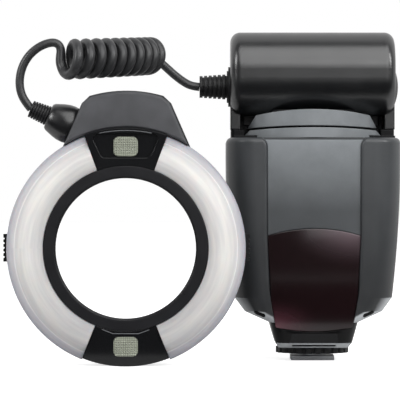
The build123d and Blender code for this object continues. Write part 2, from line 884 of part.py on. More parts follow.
def make_rear_pieces():
    """Rear panel, display, its glass, the keys, the switch, the rubber mat and the board."""
    display_size = (2 * display_half_width, display_top - display_bottom)
    display_place = (0, (display_top + display_bottom) / 2)
    with BuildPart() as rear_panel:
        pad_on(
            unit_plane(-panel_floor),
            2 * (rear_panel_half_width - seat_gap),
            rear_panel_top - rear_panel_bottom - 2 * seat_gap,
            -rear_panel_thickness,
            place=(0, (rear_panel_top + rear_panel_bottom) / 2),
            corner=rear_panel_corner,
        )
        pad_on(
            unit_plane(0), display_size[0], display_size[1], -case_deep,
            place=display_place, corner=display_corner, mode=Mode.SUBTRACT,
        )
        for place, radius in rear_openings().values():
            disc_on(unit_plane(0), radius + slide_gap, -case_deep, places=(place,), mode=Mode.SUBTRACT)
        pad_on(
            unit_plane(0),
            switch_width + switch_travel + 2 * slide_gap,
            switch_height + 2 * slide_gap,
            -case_deep,
            place=(0, switch_place),
            mode=Mode.SUBTRACT,
        )
    write(rear_panel, "rear_panel")

    with BuildPart() as display_window:
        pad_on(
            unit_plane(-panel_floor),
            display_size[0] - 2 * seat_gap,
            display_size[1] - 2 * seat_gap,
            -display_glass,
            place=display_place,
            corner=display_corner,
        )
    write(display_window, "display_window")

    board_back = board_front + board_thickness
    inner_wall = case_rear - case_wall
    with BuildPart() as display_module:
        pad_on(
            unit_plane(-board_back), display_size[0], display_size[1], board_back - inner_wall,
            place=display_place,
        )
    write(display_module, "display_module")

    for name, (place, radius) in rear_openings().items():
        with BuildPart() as key:
            flange_back = inner_wall - seat_gap / 2
            flange_plane = unit_plane(-flange_back)
            disc_on(flange_plane, radius, flange_back - panel_face - button_proud, places=(place,))
            fillet(key.faces().sort_by(Axis.Y)[-1].edges(), button_round)
            disc_on(flange_plane, radius + button_flange, button_flange_thickness, places=(place,))
            mat_front = board_back + mat_thickness
            stem = flange_back - button_flange_thickness - mat_front - button_travel - slide_gap
            stem_plane = unit_plane(-flange_back + button_flange_thickness)
            disc_on(stem_plane, radius / 2, stem, places=(place,))
        write(key, name)

    with BuildPart() as key_mat:
        places = [place for place, radius in rear_openings().values()]
        pad_on(
            unit_plane(-board_back),
            2 * (key_reach + key_button_radius),
            2 * (pad_reach + arrow_button_radius),
            -mat_thickness / 3,
            place=(0, pad_height),
            corner=display_corner,
        )
        disc_on(unit_plane(-board_back), arrow_button_radius, -mat_thickness, places=places)
    write(key_mat, "key_mat")

    with BuildPart() as power_switch:
        knob_depth = panel_face + switch_cap_proud - inner_wall + slide_gap
        knob_place = (-switch_travel / 2, switch_place)
        knob_plane = unit_plane(-inner_wall + slide_gap)
        pad_on(knob_plane, switch_width, switch_height, -knob_depth, place=knob_place)
        pad_on(
            knob_plane,
            switch_width + 2 * button_flange,
            switch_height + 2 * button_flange + slide_gap,
            inner_wall - slide_gap - board_back - seat_gap,
            place=knob_place,
        )
    write(power_switch, "power_switch")

    with BuildPart() as main_board:
        pad_on(
            unit_plane(-board_front),
            2 * board_half_width,
            board_top - board_bottom,
            -board_thickness,
            place=(0, (board_top + board_bottom) / 2),
        )
        disc_on(
            unit_plane(0), case_boss_radius + slide_gap, -case_deep, places=case_screw_places,
            mode=Mode.SUBTRACT,
        )
    write(main_board, "main_board")


def make_power_works():
    """Capacitor, transformer and the lamp module behind the sensor window."""
    with BuildPart() as main_capacitor:
        disc_on(
            side_plane(-capacitor_length / 2),
            capacitor_radius,
            capacitor_length,
            places=((board_front - capacitor_radius, capacitor_height),),
        )
        fillet(main_capacitor.edges(), cell_end_round)
    write(main_capacitor, "main_capacitor")

    with BuildPart() as transformer:
        pad_on(
            unit_plane(-board_front),
            transformer_width,
            transformer_height,
            transformer_height,
            place=(-transformer_place, bay_centre_height),
            corner=channel_round,
        )
    write(transformer, "transformer")

    with BuildPart() as lamp_module:
        wall_back = channel_floor - case_front_wall
        pad_on(
            unit_plane(wall_back),
            2 * window_mid_half_width * window_aperture_share + 2 * case_wall,
            (window_side_top - window_mid) * window_aperture_share + 2 * case_wall,
            -board_thickness,
            place=(0, lamp_module_place),
        )
        places = [(side * lamp_dome_pitch, lamp_module_place) for side in (-1, 0, 1)]
        disc_on(unit_plane(wall_back), lamp_dome_radius, case_front_wall / 2, places=places)
    write(lamp_module, "lamp_module")


def cell_places():
    """Centres of the four cells across the bay: distance to the back and height."""
    half = cell_pitch / 2
    corners = [(back, up) for back in (-1, 1) for up in (-1, 1)]
    return [(back * half - bay_centre_ahead, bay_centre_height + up * half) for back, up in corners]


def make_battery():
    """Battery tray, the four cells, the contacts at both ends, the door and its hinge pin."""
    bay_half = cell_pitch / 2 + cell_radius + bay_gap
    door_inner = case_waist_half_width - case_wall
    door_contact = door_inner - contact_carrier - contact_thickness
    cells_end = door_contact - seat_gap
    cells_start = cells_end - cell_length - cell_nub_length
    tray_length = cells_end - cells_start + bay_gap
    with BuildPart() as battery_tray:
        centre = (-bay_centre_ahead, bay_centre_height)
        outer = 2 * (bay_half + bay_wall)
        tray_start = cells_start - contact_thickness - 2 * seat_gap - bay_wall
        pad_on(
            side_plane(tray_start), outer, outer, cells_end - tray_start - bay_gap,
            place=centre, corner=bay_wall,
        )
        inner_start = tray_start + bay_wall
        pad_on(
            side_plane(inner_start), 2 * bay_half, 2 * bay_half, tray_length + bay_wall, place=centre,
            mode=Mode.SUBTRACT,
        )
    write(battery_tray, "battery_tray")

    with BuildPart() as battery_cells:
        for index, place in enumerate(cell_places()):
            nub_out = index % 2 == 0
            body_start = cells_start + (0 if nub_out else cell_nub_length)
            nub_plane = side_plane(cells_end if nub_out else cells_start + cell_nub_length)
            disc_on(side_plane(body_start), cell_radius, cell_length, places=(place,))
            disc_on(nub_plane, cell_nub_radius, -cell_nub_length, places=(place,))
    write(battery_cells, "battery_cells")

    with BuildPart() as inner_contacts:
        for half in (-1, 1):
            pad_on(
                side_plane(tray_start + bay_wall),
                2 * (cell_radius - bay_gap),
                2 * bay_half - bay_gap,
                contact_thickness,
                place=(half * cell_pitch / 2 - bay_centre_ahead, bay_centre_height),
            )
    write(inner_contacts, "inner_contacts")

    with BuildPart() as door_contacts:
        pad_on(
            side_plane(door_inner - contact_carrier),
            2 * (bay_half - contact_inset),
            2 * bay_half,
            contact_carrier,
            place=(-bay_centre_ahead, bay_centre_height),
        )
        for half in (-1, 1):
            pad_on(
                side_plane(door_contact),
                cell_radius,
                2 * (bay_half - contact_carrier),
                contact_thickness,
                place=(half * cell_pitch / 2 - bay_centre_ahead, bay_centre_height),
            )
    write(door_contacts, "door_contacts")
    return door_inner


def make_door(outer, door_inner):
    """Battery door cut from the casing's own side, with grip ribs, knuckles and its pin."""
    with BuildPart() as battery_door:
        add(outer)
        add(door_cut(0), mode=Mode.INTERSECT)
        pad_on(
            side_plane(0), 2 * case_deep, 2 * case_top, door_inner,
            place=(0, (door_top + door_bottom) / 2), mode=Mode.SUBTRACT,
        )
        for index in range(door_grip_ribs):
            across = index * door_grip_pitch - door_front + door_grip_pitch
            pad_on(
                side_plane(case_waist_half_width - door_grip_depth),
                door_grip_pitch / 2,
                (door_top - door_bottom) / 2,
                overrun,
                place=(across, (door_top + door_bottom) / 2),
                mode=Mode.SUBTRACT,
            )
        hinge_knuckles(range(1, knuckle_count, 2), -1)
        disc_on(
            Plane(origin=(unit_x + door_hinge_side, unit_y + door_hinge_back, door_bottom)),
            hinge_pin_radius + slide_gap / 4,
            door_top - door_bottom,
            mode=Mode.SUBTRACT,
        )
    write(battery_door, "battery_door")

    with BuildPart() as hinge_pin:
        disc_on(
            Plane(origin=(unit_x + door_hinge_side, unit_y + door_hinge_back, door_bottom + slide_gap / 2)),
            hinge_pin_radius,
            door_top - door_bottom - slide_gap,
        )
    write(hinge_pin, "hinge_pin")


def ring_sector(profile, start, span):
    """Turn a profile of outward and forward places round the ring's axis, in the open part."""
    with BuildSketch(ring_section(start)) as face:
        with BuildLine():
            Polyline(*profile, close=True)
        make_face()
    revolve(face.sketch, axis=ring_axis, revolution_arc=span)


def hump_outline(grow):
    """Face of the hump above the ring, grown on every side, centred on the ring's axis."""
    shoulder = (hump_shoulder_half_width + grow, hump_shoulder + grow)
    cheek = (hump_cheek_half_width + grow, hump_cheek)
    foot = (hump_foot_half_width + grow, hump_foot)
    with BuildSketch() as face:
        with BuildLine():
            ThreePointArc((-shoulder[0], shoulder[1]), (0, hump_top + grow), shoulder)
            Line(shoulder, cheek)
            Line(cheek, foot)
            Line(foot, (-foot[0], foot[1]))
            Line((-foot[0], foot[1]), (-cheek[0], cheek[1]))
            Line((-cheek[0], cheek[1]), (-shoulder[0], shoulder[1]))
        make_face()
    return face.sketch


def gland_frame():
    """Middle and direction of the gland on the hump's shoulder."""
    middle = ring_plane(gland_height).from_local_coords((gland_place[0], gland_place[1], 0))
    direction = Vector(-cos(radians(gland_rise_angle)), 0, sin(radians(gland_rise_angle)))
    return middle, direction


def gland_hole():
    """Solid that clears the gland out of the two covers it is clamped between."""
    middle, direction = gland_frame()
    with BuildPart() as hole:
        start = cord_plane(middle - direction * (gland_root + overrun), direction)
        disc_on(start, gland_radius + seat_gap, gland_root + gland_length + 2 * overrun)
    return hole.part


def screw_place(angle):
    """Place on the ring screws' orbit, from the ring's axis."""
    return (ring_screw_orbit * cos(radians(angle)), ring_screw_orbit * sin(radians(angle)))


def block_screws(middle):
    """Places of the two screws of a block whose middle lies at an angle."""
    return [screw_place(middle - ring_screw_turn), screw_place(middle + ring_screw_turn)]


def make_ring_covers():
    """Rear cover of the ring with its hump, and the hump's front cover."""
    cover_radius = ring_radius - rear_cover_inset
    all_screws = block_screws(90) + block_screws(270) + list(hump_screws)
    with BuildPart() as ring_rear_cover:
        with BuildSketch(ring_plane(0)) as back:
            Circle(cover_radius)
            add(hump_outline(0))
        extrude(amount=rear_cover_depth)
        chamfer(ring_rear_cover.faces().sort_by(Axis.Y)[-1].edges(), ring_edge_round / 2)
        with BuildSketch(ring_plane(ring_floor)):
            Circle(cover_radius - ring_wall)
            add(hump_outline(-ring_wall))
        extrude(amount=rear_cover_depth, mode=Mode.SUBTRACT)
        disc_on(ring_plane(0), screw_pad_radius, latch_heights[0], places=all_screws)
        disc_on(ring_plane(-overrun), ring_collar_radius, ring_depth, mode=Mode.SUBTRACT)
        disc_on(ring_plane(-overrun), screw_radius, ring_depth, places=all_screws, mode=Mode.SUBTRACT)
        disc_on(
            ring_plane(-overrun), screw_head_radius + slide_gap, overrun + screw_seat, places=all_screws,
            mode=Mode.SUBTRACT,
        )
        for side in (-1, 1):
            pad_on(
                ring_plane(release_place_height - release_height / 2 - slide_gap),
                2 * release_body,
                2 * (release_half_width + slide_gap),
                rear_cover_depth,
                place=(side * ring_radius, 0),
                mode=Mode.SUBTRACT,
            )
        under = Plane(origin=(ring_x, ring_back_y - ring_depth / 2, 0))
        pad_on(under, 2 * ring_radius, 2 * ring_depth, -ring_depth, mode=Mode.SUBTRACT)
        add(gland_hole(), mode=Mode.SUBTRACT)
    write(ring_rear_cover, "ring_rear_cover")

    with BuildPart() as hump_cover:
        with BuildSketch(ring_plane(rear_cover_depth)):
            add(hump_outline(-hump_cover_inset))
            Circle(ring_radius + seat_gap, mode=Mode.SUBTRACT)
        extrude(amount=hump_front - rear_cover_depth)
        chamfer(hump_cover.faces().sort_by(Axis.Y)[0].edges(), hump_edge_round / 2)
        with BuildSketch(ring_plane(rear_cover_depth)):
            add(hump_outline(-hump_cover_inset - ring_wall))
            Circle(ring_radius + seat_gap + ring_wall, mode=Mode.SUBTRACT)
        extrude(amount=hump_front - rear_cover_depth - ring_wall, mode=Mode.SUBTRACT)
        boss_length = hump_front - ring_wall - latch_heights[0]
        disc_on(ring_plane(latch_heights[0]), screw_boss_radius, boss_length, places=hump_screws)
        disc_on(
            ring_plane(latch_heights[0]), screw_radius, ring_screw_length + screw_seat - latch_heights[0],
            places=hump_screws, mode=Mode.SUBTRACT,
        )
        add(gland_hole(), mode=Mode.SUBTRACT)
    write(hump_cover, "hump_cover")

    screw_plane = Plane(origin=(ring_x, ring_back_y - screw_seat, ring_z), x_dir=(-1, 0, 0), z_dir=(0, 1, 0))
    screw_solid(screw_plane, ring_screw_length, [(-x, z) for x, z in all_screws], "ring_screws")


def make_ring_collar():
    """Inner collar: the seat for a lens adapter, with the black rim at its front."""
    rim_back = ring_rim_front - ring_rim_thickness
    with BuildPart() as ring_collar:
        entry_radius = ring_seat_radius + ring_entry_ease
        stop_radius = ring_seat_radius - ring_stop_width
        seat_end = ring_seat_start + ring_seat_length
        profile = [
            (entry_radius, 0),
            (ring_collar_radius, 0),
            (ring_collar_radius, rim_back),
            (ring_rim_radius, rim_back),
            (ring_rim_radius, ring_rim_front),
            (ring_opening_radius + ring_rim_step, ring_rim_front),
            (ring_opening_radius + ring_rim_step, ring_rim_front - ring_rim_step),
            (ring_opening_radius, ring_rim_front - ring_rim_step),
            (ring_opening_radius, rim_back - ring_rim_step),
            (stop_radius, rim_back - 2 * ring_rim_step),
            (stop_radius, seat_end),
            (ring_seat_radius, seat_end),
            (ring_seat_radius, ring_seat_start),
            (entry_radius, ring_seat_start - ring_entry_ease),
        ]
        ring_sector(profile, 0, 360)
        for side, height in ((1, latch_heights[0]), (-1, latch_heights[1])):
            pad_on(
                ring_plane(height - slide_gap),
                ring_seat_radius,
                2 * (latch_hook_half_width + slide_gap),
                latch_thickness + 2 * slide_gap,
                place=(side * ring_collar_radius, 0),
                mode=Mode.SUBTRACT,
            )
    write(ring_collar, "ring_collar")


def make_diffusers():
    """The two frosted covers of the flash tubes."""
    gap_angle = degrees(seat_gap / tube_orbit)
    shoulder = (ring_radius - diffuser_shoulder, diffuser_shoulder_height + diffuser_shoulder)
    bend = diffuser_shoulder * cos(radians(45))
    bend_place = (ring_radius - diffuser_shoulder + bend, diffuser_shoulder_height + bend)
    inner = ring_rim_radius + seat_gap
    inside = ring_radius - ring_wall
    foot = reflector_top + slide_gap
    span = 180 - top_block_half_angle - bottom_block_half_angle - 2 * gap_angle
    for name, start in (
        ("diffuser_right", -90 + bottom_block_half_angle + gap_angle),
        ("diffuser_left", 90 + top_block_half_angle + gap_angle),
    ):
        with BuildPart() as diffuser:
            with BuildSketch(ring_section(start)) as face:
                with BuildLine():
                    Line((ring_radius, rear_cover_depth), (ring_radius, diffuser_shoulder_height))
                    ThreePointArc((ring_radius, diffuser_shoulder_height), bend_place, shoulder)
                    ThreePointArc(shoulder, (diffuser_crown, ring_depth), (inner, diffuser_inner_height))
                    Polyline((inner, diffuser_inner_height), (inner, foot), (inner + ring_wall, foot))
                    Line((inner + ring_wall, foot), (inner + ring_wall, diffuser_inner_height - ring_wall))
                    inner_shoulder = (shoulder[0] - ring_wall / 2, shoulder[1] - ring_wall / 2)
                    ThreePointArc(
                        (inner + ring_wall, diffuser_inner_height - ring_wall),
                        (diffuser_crown, ring_depth - ring_wall),
                        inner_shoulder,
                    )
                    Line(inner_shoulder, (inside, diffuser_shoulder_height))
                    Line((inside, diffuser_shoulder_height), (inside, rear_cover_depth))
                    Line((inside, rear_cover_depth), (ring_radius, rear_cover_depth))
                make_face()
            revolve(face.sketch, axis=ring_axis, revolution_arc=span)
        write(diffuser, name)


def block_form(middle, half_angle, outer, front):
    """Hollow sector of the ring around a window, with bosses for its two screws, in the open part."""
    inner = ring_rim_radius + seat_gap
    back = rear_cover_depth
    plate = front - recess_depth - block_wall
    wall_angle = degrees(block_wall / tube_orbit)
    start = middle - half_angle
    ring_sector([(inner, back), (outer, back), (outer, front), (inner, front)], start, 2 * half_angle)
    with BuildPart(mode=Mode.PRIVATE) as hollow:
        profile = [
            (inner + block_wall, back - overrun),
            (outer - block_wall, back - overrun),
            (outer - block_wall, plate),
            (inner + block_wall, plate),
        ]
        ring_sector(profile, start + wall_angle, 2 * (half_angle - wall_angle))
    add(hollow.part, mode=Mode.SUBTRACT)
    screws = block_screws(middle)
    boss_back = latch_heights[0]
    disc_on(ring_plane(boss_back), screw_boss_radius, plate - boss_back, places=screws)
    screw_depth = ring_screw_length + screw_seat - boss_back
    disc_on(ring_plane(boss_back), screw_radius, screw_depth, places=screws, mode=Mode.SUBTRACT)


def recess_face():
    """Trapezoid of the upper lamp's panel, with rounded corners, around the ring's axis."""
    with BuildSketch() as face:
        Polygon(
            (-recess_top_half_width, recess_top),
            (-recess_bottom_half_width, recess_bottom),
            (recess_bottom_half_width, recess_bottom),
            (recess_top_half_width, recess_top),
            align=None,
        )
        fillet(face.vertices(), recess_round)
    return face.sketch


def make_blocks():
    """Upper and lower blocks between the diffusers, their lamp windows, boards and lamps."""
    window_size = (2 * lamp_window_half_width, lamp_window_height)
    places = {"top": (0, top_window_place), "bottom": (0, -bottom_window_place)}
    plate_back = block_front - recess_depth - block_wall
    with BuildPart() as top_block:
        block_form(90, top_block_half_angle, ring_radius + seat_gap / 2, block_front)
        recess = ring_plane(block_front - recess_depth) * recess_face()
        extrude(recess, amount=ring_depth, mode=Mode.SUBTRACT)
        pad_on(
            ring_plane(0), window_size[0] + 2 * seat_gap, window_size[1] + 2 * seat_gap, ring_depth,
            place=places["top"], corner=lamp_window_round, mode=Mode.SUBTRACT,
        )
    write(top_block, "top_block")

    with BuildPart() as bottom_block:
        block_form(270, bottom_block_half_angle, ring_low_radius, block_front)
        pad_on(
            ring_plane(0), window_size[0] + 2 * seat_gap, window_size[1] + 2 * seat_gap, ring_depth,
            place=places["bottom"], corner=lamp_window_round, mode=Mode.SUBTRACT,
        )
    write(bottom_block, "bottom_block")

    flange_back = plate_back - lamp_window_thickness / 2
    with BuildPart() as lamp_windows:
        for name, place in places.items():
            front = block_front - (recess_depth / 2 if name == "top" else 0)
            pad_on(
                ring_plane(flange_back), window_size[0], window_size[1], front - flange_back,
                place=place, corner=lamp_window_round,
            )
            pad_on(
                ring_plane(flange_back), window_size[0] + 2 * lamp_flange, window_size[1] + 2 * lamp_flange,
                plate_back - flange_back, place=place, corner=lamp_window_round,
            )
            led_width = 2 * led_half_width + 2 * slide_gap
            pad_on(
                ring_plane(flange_back), led_width, led_width, led_height + slide_gap,
                place=place, mode=Mode.SUBTRACT,
            )
    write(lamp_windows, "lamp_windows")

    with BuildPart() as lamp_boards:
        for place in places.values():
            pad_on(
                ring_plane(flange_back), window_size[0] + 2 * lamp_flange, window_size[1] + 2 * lamp_flange,
                -lamp_board_thickness, place=place,
            )
            pad_on(ring_plane(flange_back), 2 * led_half_width, 2 * led_half_width, led_height, place=place)
    write(lamp_boards, "lamp_boards")


def make_flash_works():
    """Reflectors, flash tubes and tube holders behind the diffusers, the ring's board and coil."""
    floor = reflector_floor
    wall = reflector_wall
    lip = reflector_top
    outer = ring_radius - ring_wall - seat_gap
    profile = [
        (outer, rear_cover_depth),
        (outer, lip),
        (outer - 2 * wall, lip),
        (reflector_floor_outer, floor + wall),
        (reflector_floor_inner, floor + wall),
        (reflector_inner + wall, lip),
        (reflector_inner - wall, lip),
        (reflector_floor_inner - wall, floor),
        (reflector_floor_outer + wall, floor),
        (outer - wall, lip - 2 * wall),
        (outer - wall, rear_cover_depth),
    ]
    span = 2 * (tube_half_angle + holder_angle)
    with BuildPart() as reflectors:
        for middle in (0, 180):
            ring_sector(profile, middle - span / 2, span)
    write(reflectors, "reflectors")

    with BuildPart() as flash_tubes:
        for middle in (0, 180):
            with BuildSketch(ring_section(middle - tube_half_angle)) as face:
                with Locations((tube_orbit, tube_height)):
                    Circle(tube_radius)
            revolve(face.sketch, axis=ring_axis, revolution_arc=2 * tube_half_angle)
    write(flash_tubes, "flash_tubes")

    with BuildPart() as tube_holders:
        for middle in (0, 180):
            for start in (middle - tube_half_angle - holder_angle, middle + tube_half_angle):
                profile = [
                    (tube_orbit - holder_half_width + wall, floor + wall),
                    (tube_orbit + holder_half_width - wall, floor + wall),
                    (tube_orbit + holder_half_width, lip),
                    (tube_orbit - holder_half_width, lip),
                ]
                ring_sector(profile, start, holder_angle)
    write(tube_holders, "tube_holders")

    with BuildPart() as ring_board:
        board_height = hump_shoulder - ring_wall - ring_board_bottom
        pad_on(
            ring_plane(ring_floor), 2 * ring_board_half_width, board_height, lamp_board_thickness,
            place=(0, ring_board_bottom + board_height / 2),
        )
        coil_height = ring_floor + lamp_board_thickness + trigger_coil_radius
        coil_place = (-trigger_coil_length / 2, ring_board_bottom + board_height / 2, 0)
        coil_middle = ring_plane(coil_height).from_local_coords(coil_place)
        coil_start = Plane(origin=coil_middle, x_dir=(0, 1, 0), z_dir=(1, 0, 0))
        disc_on(coil_start, trigger_coil_radius, trigger_coil_length)
    write(ring_board, "ring_board")


def make_release(name, side, latch_height):
    """One release button with its ribs, and its latch plate, whose hook is on the ring's far side."""
    half = latch_width / 2
    back = release_place_height - release_height / 2
    inner_side = ring_radius + release_proud - release_body
    flange = release_body / 4
    with BuildPart() as release_latch:
        pad_on(
            ring_plane(back), release_body, 2 * release_half_width, release_height,
            place=(side * (ring_radius + release_proud - release_body / 2), 0),
        )
        pad_on(
            ring_plane(back), flange, 2 * (release_half_width + flange), release_height,
            place=(side * (inner_side - flange / 2), 0),
        )
        pitch = 2 * release_half_width / release_ribs
        for index in range(release_ribs - 1):
            pad_on(
                ring_plane(back), 2 * release_rib_depth, pitch / 3, release_height,
                place=(side * (ring_radius + release_proud), (index + 1) * pitch - release_half_width),
                mode=Mode.SUBTRACT,
            )
        with BuildSketch(ring_plane(latch_height)):
            Circle(latch_orbit + half)
            Circle(latch_orbit - half, mode=Mode.SUBTRACT)
            with Locations((0, side * 2 * ring_radius)):
                Rectangle(4 * ring_radius, 4 * ring_radius, mode=Mode.SUBTRACT)
            tab_end = inner_side - flange - seat_gap
            with Locations((side * (latch_orbit + tab_end) / 2, 0)):
                Rectangle(tab_end - latch_orbit, 2 * latch_hook_half_width)
            hook_end = ring_seat_radius - latch_hook_bite
            with Locations((-side * (latch_orbit + hook_end) / 2, 0)):
                Rectangle(latch_orbit - hook_end, 2 * latch_hook_half_width)
        extrude(amount=latch_thickness)
    write(release_latch, f"release_latch_{name}")


def ribbed_relief(name, origin, direction, length, radii, ribs, root, flange):
    """Ribbed, tapered strain relief on its own axis, with an optional flange at its foot."""
    start, end = radii
    profile = [(-root, 0), (-root, start)]
    if flange:
        profile += [(0, start), (0, unit_relief_flange_radius), (flange, unit_relief_flange_radius)]
    pitch = (length - flange) / ribs
    for index in range(ribs):
        low = flange + index * pitch
        radius = start + (end - start) * (index + 1) / ribs
        profile += [(low, radius - relief_groove), (low + pitch / 3, radius - relief_groove)]
        profile += [(low + pitch / 3, radius), (low + pitch, radius)]
    profile.append((length, 0))
    with BuildPart() as relief:
        with BuildSketch(Plane(origin=origin, x_dir=direction, z_dir=(0, -1, 0))) as face:
            with BuildLine():
                Polyline(*profile, close=True)
            make_face()
        revolve(face.sketch, axis=Axis(origin, direction))
    write(relief, name)


def make_reliefs():
    """Gland on the hump and the two ribbed strain reliefs."""
    middle, direction = gland_frame()
    root_plane = cord_plane(middle - direction * gland_root, direction)
    with BuildPart() as cord_gland:
        disc_on(root_plane, gland_radius, gland_root + gland_length)
        rim = middle + direction * gland_length
        outer_edge = cord_gland.edges().filter_by(GeomType.CIRCLE).sort_by_distance(rim)[0]
        fillet(outer_edge, gland_round)
    write(cord_gland, "cord_gland")
    ribbed_relief(
        "ring_strain_relief", rim, direction, ring_relief_length, ring_relief_radii, ring_relief_ribs, 0, 0,
    )
    foot = Vector(unit_x - barrel_half_length - barrel_ring_thickness, unit_y, cord_axis_height)
    ribbed_relief(
        "unit_strain_relief", foot, Vector(-1, 0, 0), unit_relief_length, unit_relief_radii, unit_relief_ribs,
        barrel_ring_thickness, unit_relief_flange,
    )


def coil_axis_step(turn):
    """Rate at which the coil's axis runs on with its turns."""
    share = (turn - coil_first_turn) / coil_turns
    pitch = coil_pitches[0] + (coil_pitches[1] - coil_pitches[0]) * share
    heading = radians(coil_headings[0] + (coil_headings[1] - coil_headings[0]) * share)
    return Vector(pitch * cos(heading), pitch * sin(heading), coil_rise / coil_turns), heading


def coil_points():
    """Points and directions of the curled stretch, a quarter turn apart."""
    axis = Vector(*coil_axis_start)
    bend = radians(coil_headings[1] - coil_headings[0]) / coil_turns
    points = []
    for quarter in range(4 * coil_turns + 1):
        turn = coil_first_turn + quarter / 4
        step, heading = coil_axis_step(turn)
        phase = 2 * pi * turn
        near = Vector(sin(heading), -cos(heading), 0)
        along = Vector(cos(heading), sin(heading), 0)
        up = Vector(0, 0, 1)
        place = axis + (near * cos(phase) + up * sin(phase)) * coil_radius
        swing = (up * cos(phase) - near * sin(phase)) * (2 * pi * coil_radius)
        direction = (step + swing + along * (coil_radius * cos(phase) * bend)).normalized()
        points.append((place, direction))
        middle, last = coil_axis_step(turn + 1 / 8)[0], coil_axis_step(turn + 1 / 4)[0]
        axis = axis + (step + middle * 4 + last) / 24
    return points


def biarc(start, start_direction, end, end_direction):
    """Two tangent arcs from one point and direction to another, in the open line."""
    chord = end - start
    spread = 2 * (1 - start_direction.dot(end_direction))
    along = chord.dot(start_direction + end_direction)
    reach = (sqrt(along**2 + spread * chord.dot(chord)) - along) / spread
    first = start + start_direction * reach
    last = end - end_direction * reach
    joint = (first + last) / 2
    TangentArc(start, joint, tangent=start_direction)
    TangentArc(joint, end, tangent=last - first)


def corner_radii(route):
    """Largest tangent arcs that the runs beside each corner of a route allow."""
    radii = []
    for before, corner, after in zip(route, route[1:], route[2:]):
        arriving, leaving = corner - before, after - corner
        shorter = min(arriving.length, leaving.length)
        radii.append(bend_share * shorter / tan(radians(arriving.get_angle(leaving) / 2)))
    return radii


def make_lead(name, route):
    """One free stretch of the cord as a round tube along straight runs and tangent arcs."""
    points = [Vector(*point) for point in route]
    radii = corner_radii(points)
    with BuildPart() as lead:
        with BuildLine() as path:
            FilletPolyline(*points, radius=radii)
        with BuildSketch(Plane(origin=points[0], z_dir=points[1] - points[0])):
            Circle(cord_diameter / 2)
        sweep(path=path.line)
    length = sum(edge.length for edge in path.edges())
    section = pi * cord_diameter**2 / 4
    print(name, "radii", [round(radius, 1) for radius in radii], "length", round(length, 1))
    print(name, "volume over section times length", round(lead.part.volume / (section * length), 4))
    write(lead, name)
    return length


def make_cord():
    """The two leads and the curled stretch between them."""
    points = coil_points()
    middle, direction = gland_frame()
    relief_end = middle + direction * (gland_length + ring_relief_length)
    way_in = Vector(*coil_in_direction).normalized()
    coil_in = Vector(*coil_in_place)
    back = (Vector(*coil_back_place), Vector(*coil_back_direction).normalized())
    way_out = Vector(*coil_out_direction).normalized()
    coil_out = Vector(*coil_out_place)
    with BuildPart() as cord_coil:
        with BuildLine() as path:
            bend_in = coil_in + way_in * cord_diameter
            Line(coil_in, bend_in)
            biarc(bend_in, way_in, *points[0])
            for (start, start_direction), (end, end_direction) in zip(points, points[1:]):
                biarc(start, start_direction, end, end_direction)
            biarc(*points[-1], *back)
            biarc(*back, coil_out, way_out)
            Line(coil_out, coil_out + way_out * cord_diameter)
        with BuildSketch(Plane(origin=coil_in, z_dir=way_in)):
            Circle(cord_diameter / 2)
        sweep(path=path.line)
    write(cord_coil, "cord_coil")
    radii = [edge.radius for edge in path.edges().filter_by(GeomType.CIRCLE)]
    print("cord_coil radii", round(min(radii), 2), round(max(radii), 2))
    length = sum(edge.length for edge in path.edges())
    section = pi * cord_diameter**2 / 4
    print("cord_coil length", round(length, 1), "volume over section times length", end=" ")
    print(round(cord_coil.part.volume / (section * length), 4))
    samples = [edge @ (index / 6) for edge in path.edges() for index in range(6)]
    half_turn = len(samples) // (2 * coil_turns)
    gap = min(
        (samples[first] - samples[second]).length
        for first in range(len(samples))
        for second in range(first + half_turn, len(samples))
    )
    print("cord_coil least gap to itself", round(gap - cord_diameter, 2))

    lengths = [length]
    first_run = relief_end + direction * ring_lead_start
    ring_route = [relief_end, first_run] + [Vector(*point) for point in ring_lead_points] + [coil_in]
    lengths.append(make_lead("cord_lead_ring", ring_route))
    relief_foot = Vector(unit_x - barrel_half_length - barrel_ring_thickness, unit_y, cord_axis_height)
    unit_end = relief_foot - Vector(unit_relief_length, 0, 0)
    last_run = unit_end - Vector(unit_lead_end, 0, 0)
    lead_start = coil_out + way_out * cord_diameter
    first_bend = lead_start + way_out * unit_lead_start
    unit_route = [lead_start, first_bend, Vector(*unit_lead_place), last_run, unit_end]
    lengths.append(make_lead("cord_lead_unit", unit_route))
    print("whole cord", round(sum(lengths), 1))


def main():
    """Build every piece and write it."""
    os.makedirs("parts", exist_ok=True)
    outer = casing_form(0, 0)
    inner = casing_form(case_wall, case_front - channel_floor + case_front_wall)
    make_front_shell(outer, inner)
    make_rear_shell(outer, inner)
    make_case_screws()
    make_front_pieces()
    make_chin()
    make_foot()
    make_collar(
        "lower_collar", case_top, collar_low_half_width, collar_low_shoulder, collar_low_shoulder_height,
        collar_low_top, collar_low_half_depth, 0,
    )
    make_collar(
        "upper_collar", collar_up_bottom, collar_up_half_width, collar_up_top_half_width,
        collar_up_top - collar_up_top_sag, collar_up_top, collar_up_half_depth, collar_up_bottom_sag,
    )
    make_neck()
    make_barrel()
    make_rear_pieces()
    make_power_works()
    door_inner = make_battery()
    make_door(outer, door_inner)
    make_ring_covers()
    make_ring_collar()
    make_diffusers()
    make_blocks()
    make_flash_works()
    make_release("left", -1, latch_heights[0])
    make_release("right", 1, latch_heights[1])
    make_reliefs()
    make_cord()


if __name__ == "__main__":
    main()
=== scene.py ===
import logging
import math
from dataclasses import dataclass, field
from enum import Enum
from typing import Iterable, Optional, Sequence

import bmesh
import bpy
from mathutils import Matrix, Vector
from mathutils.bvhtree import BVHTree


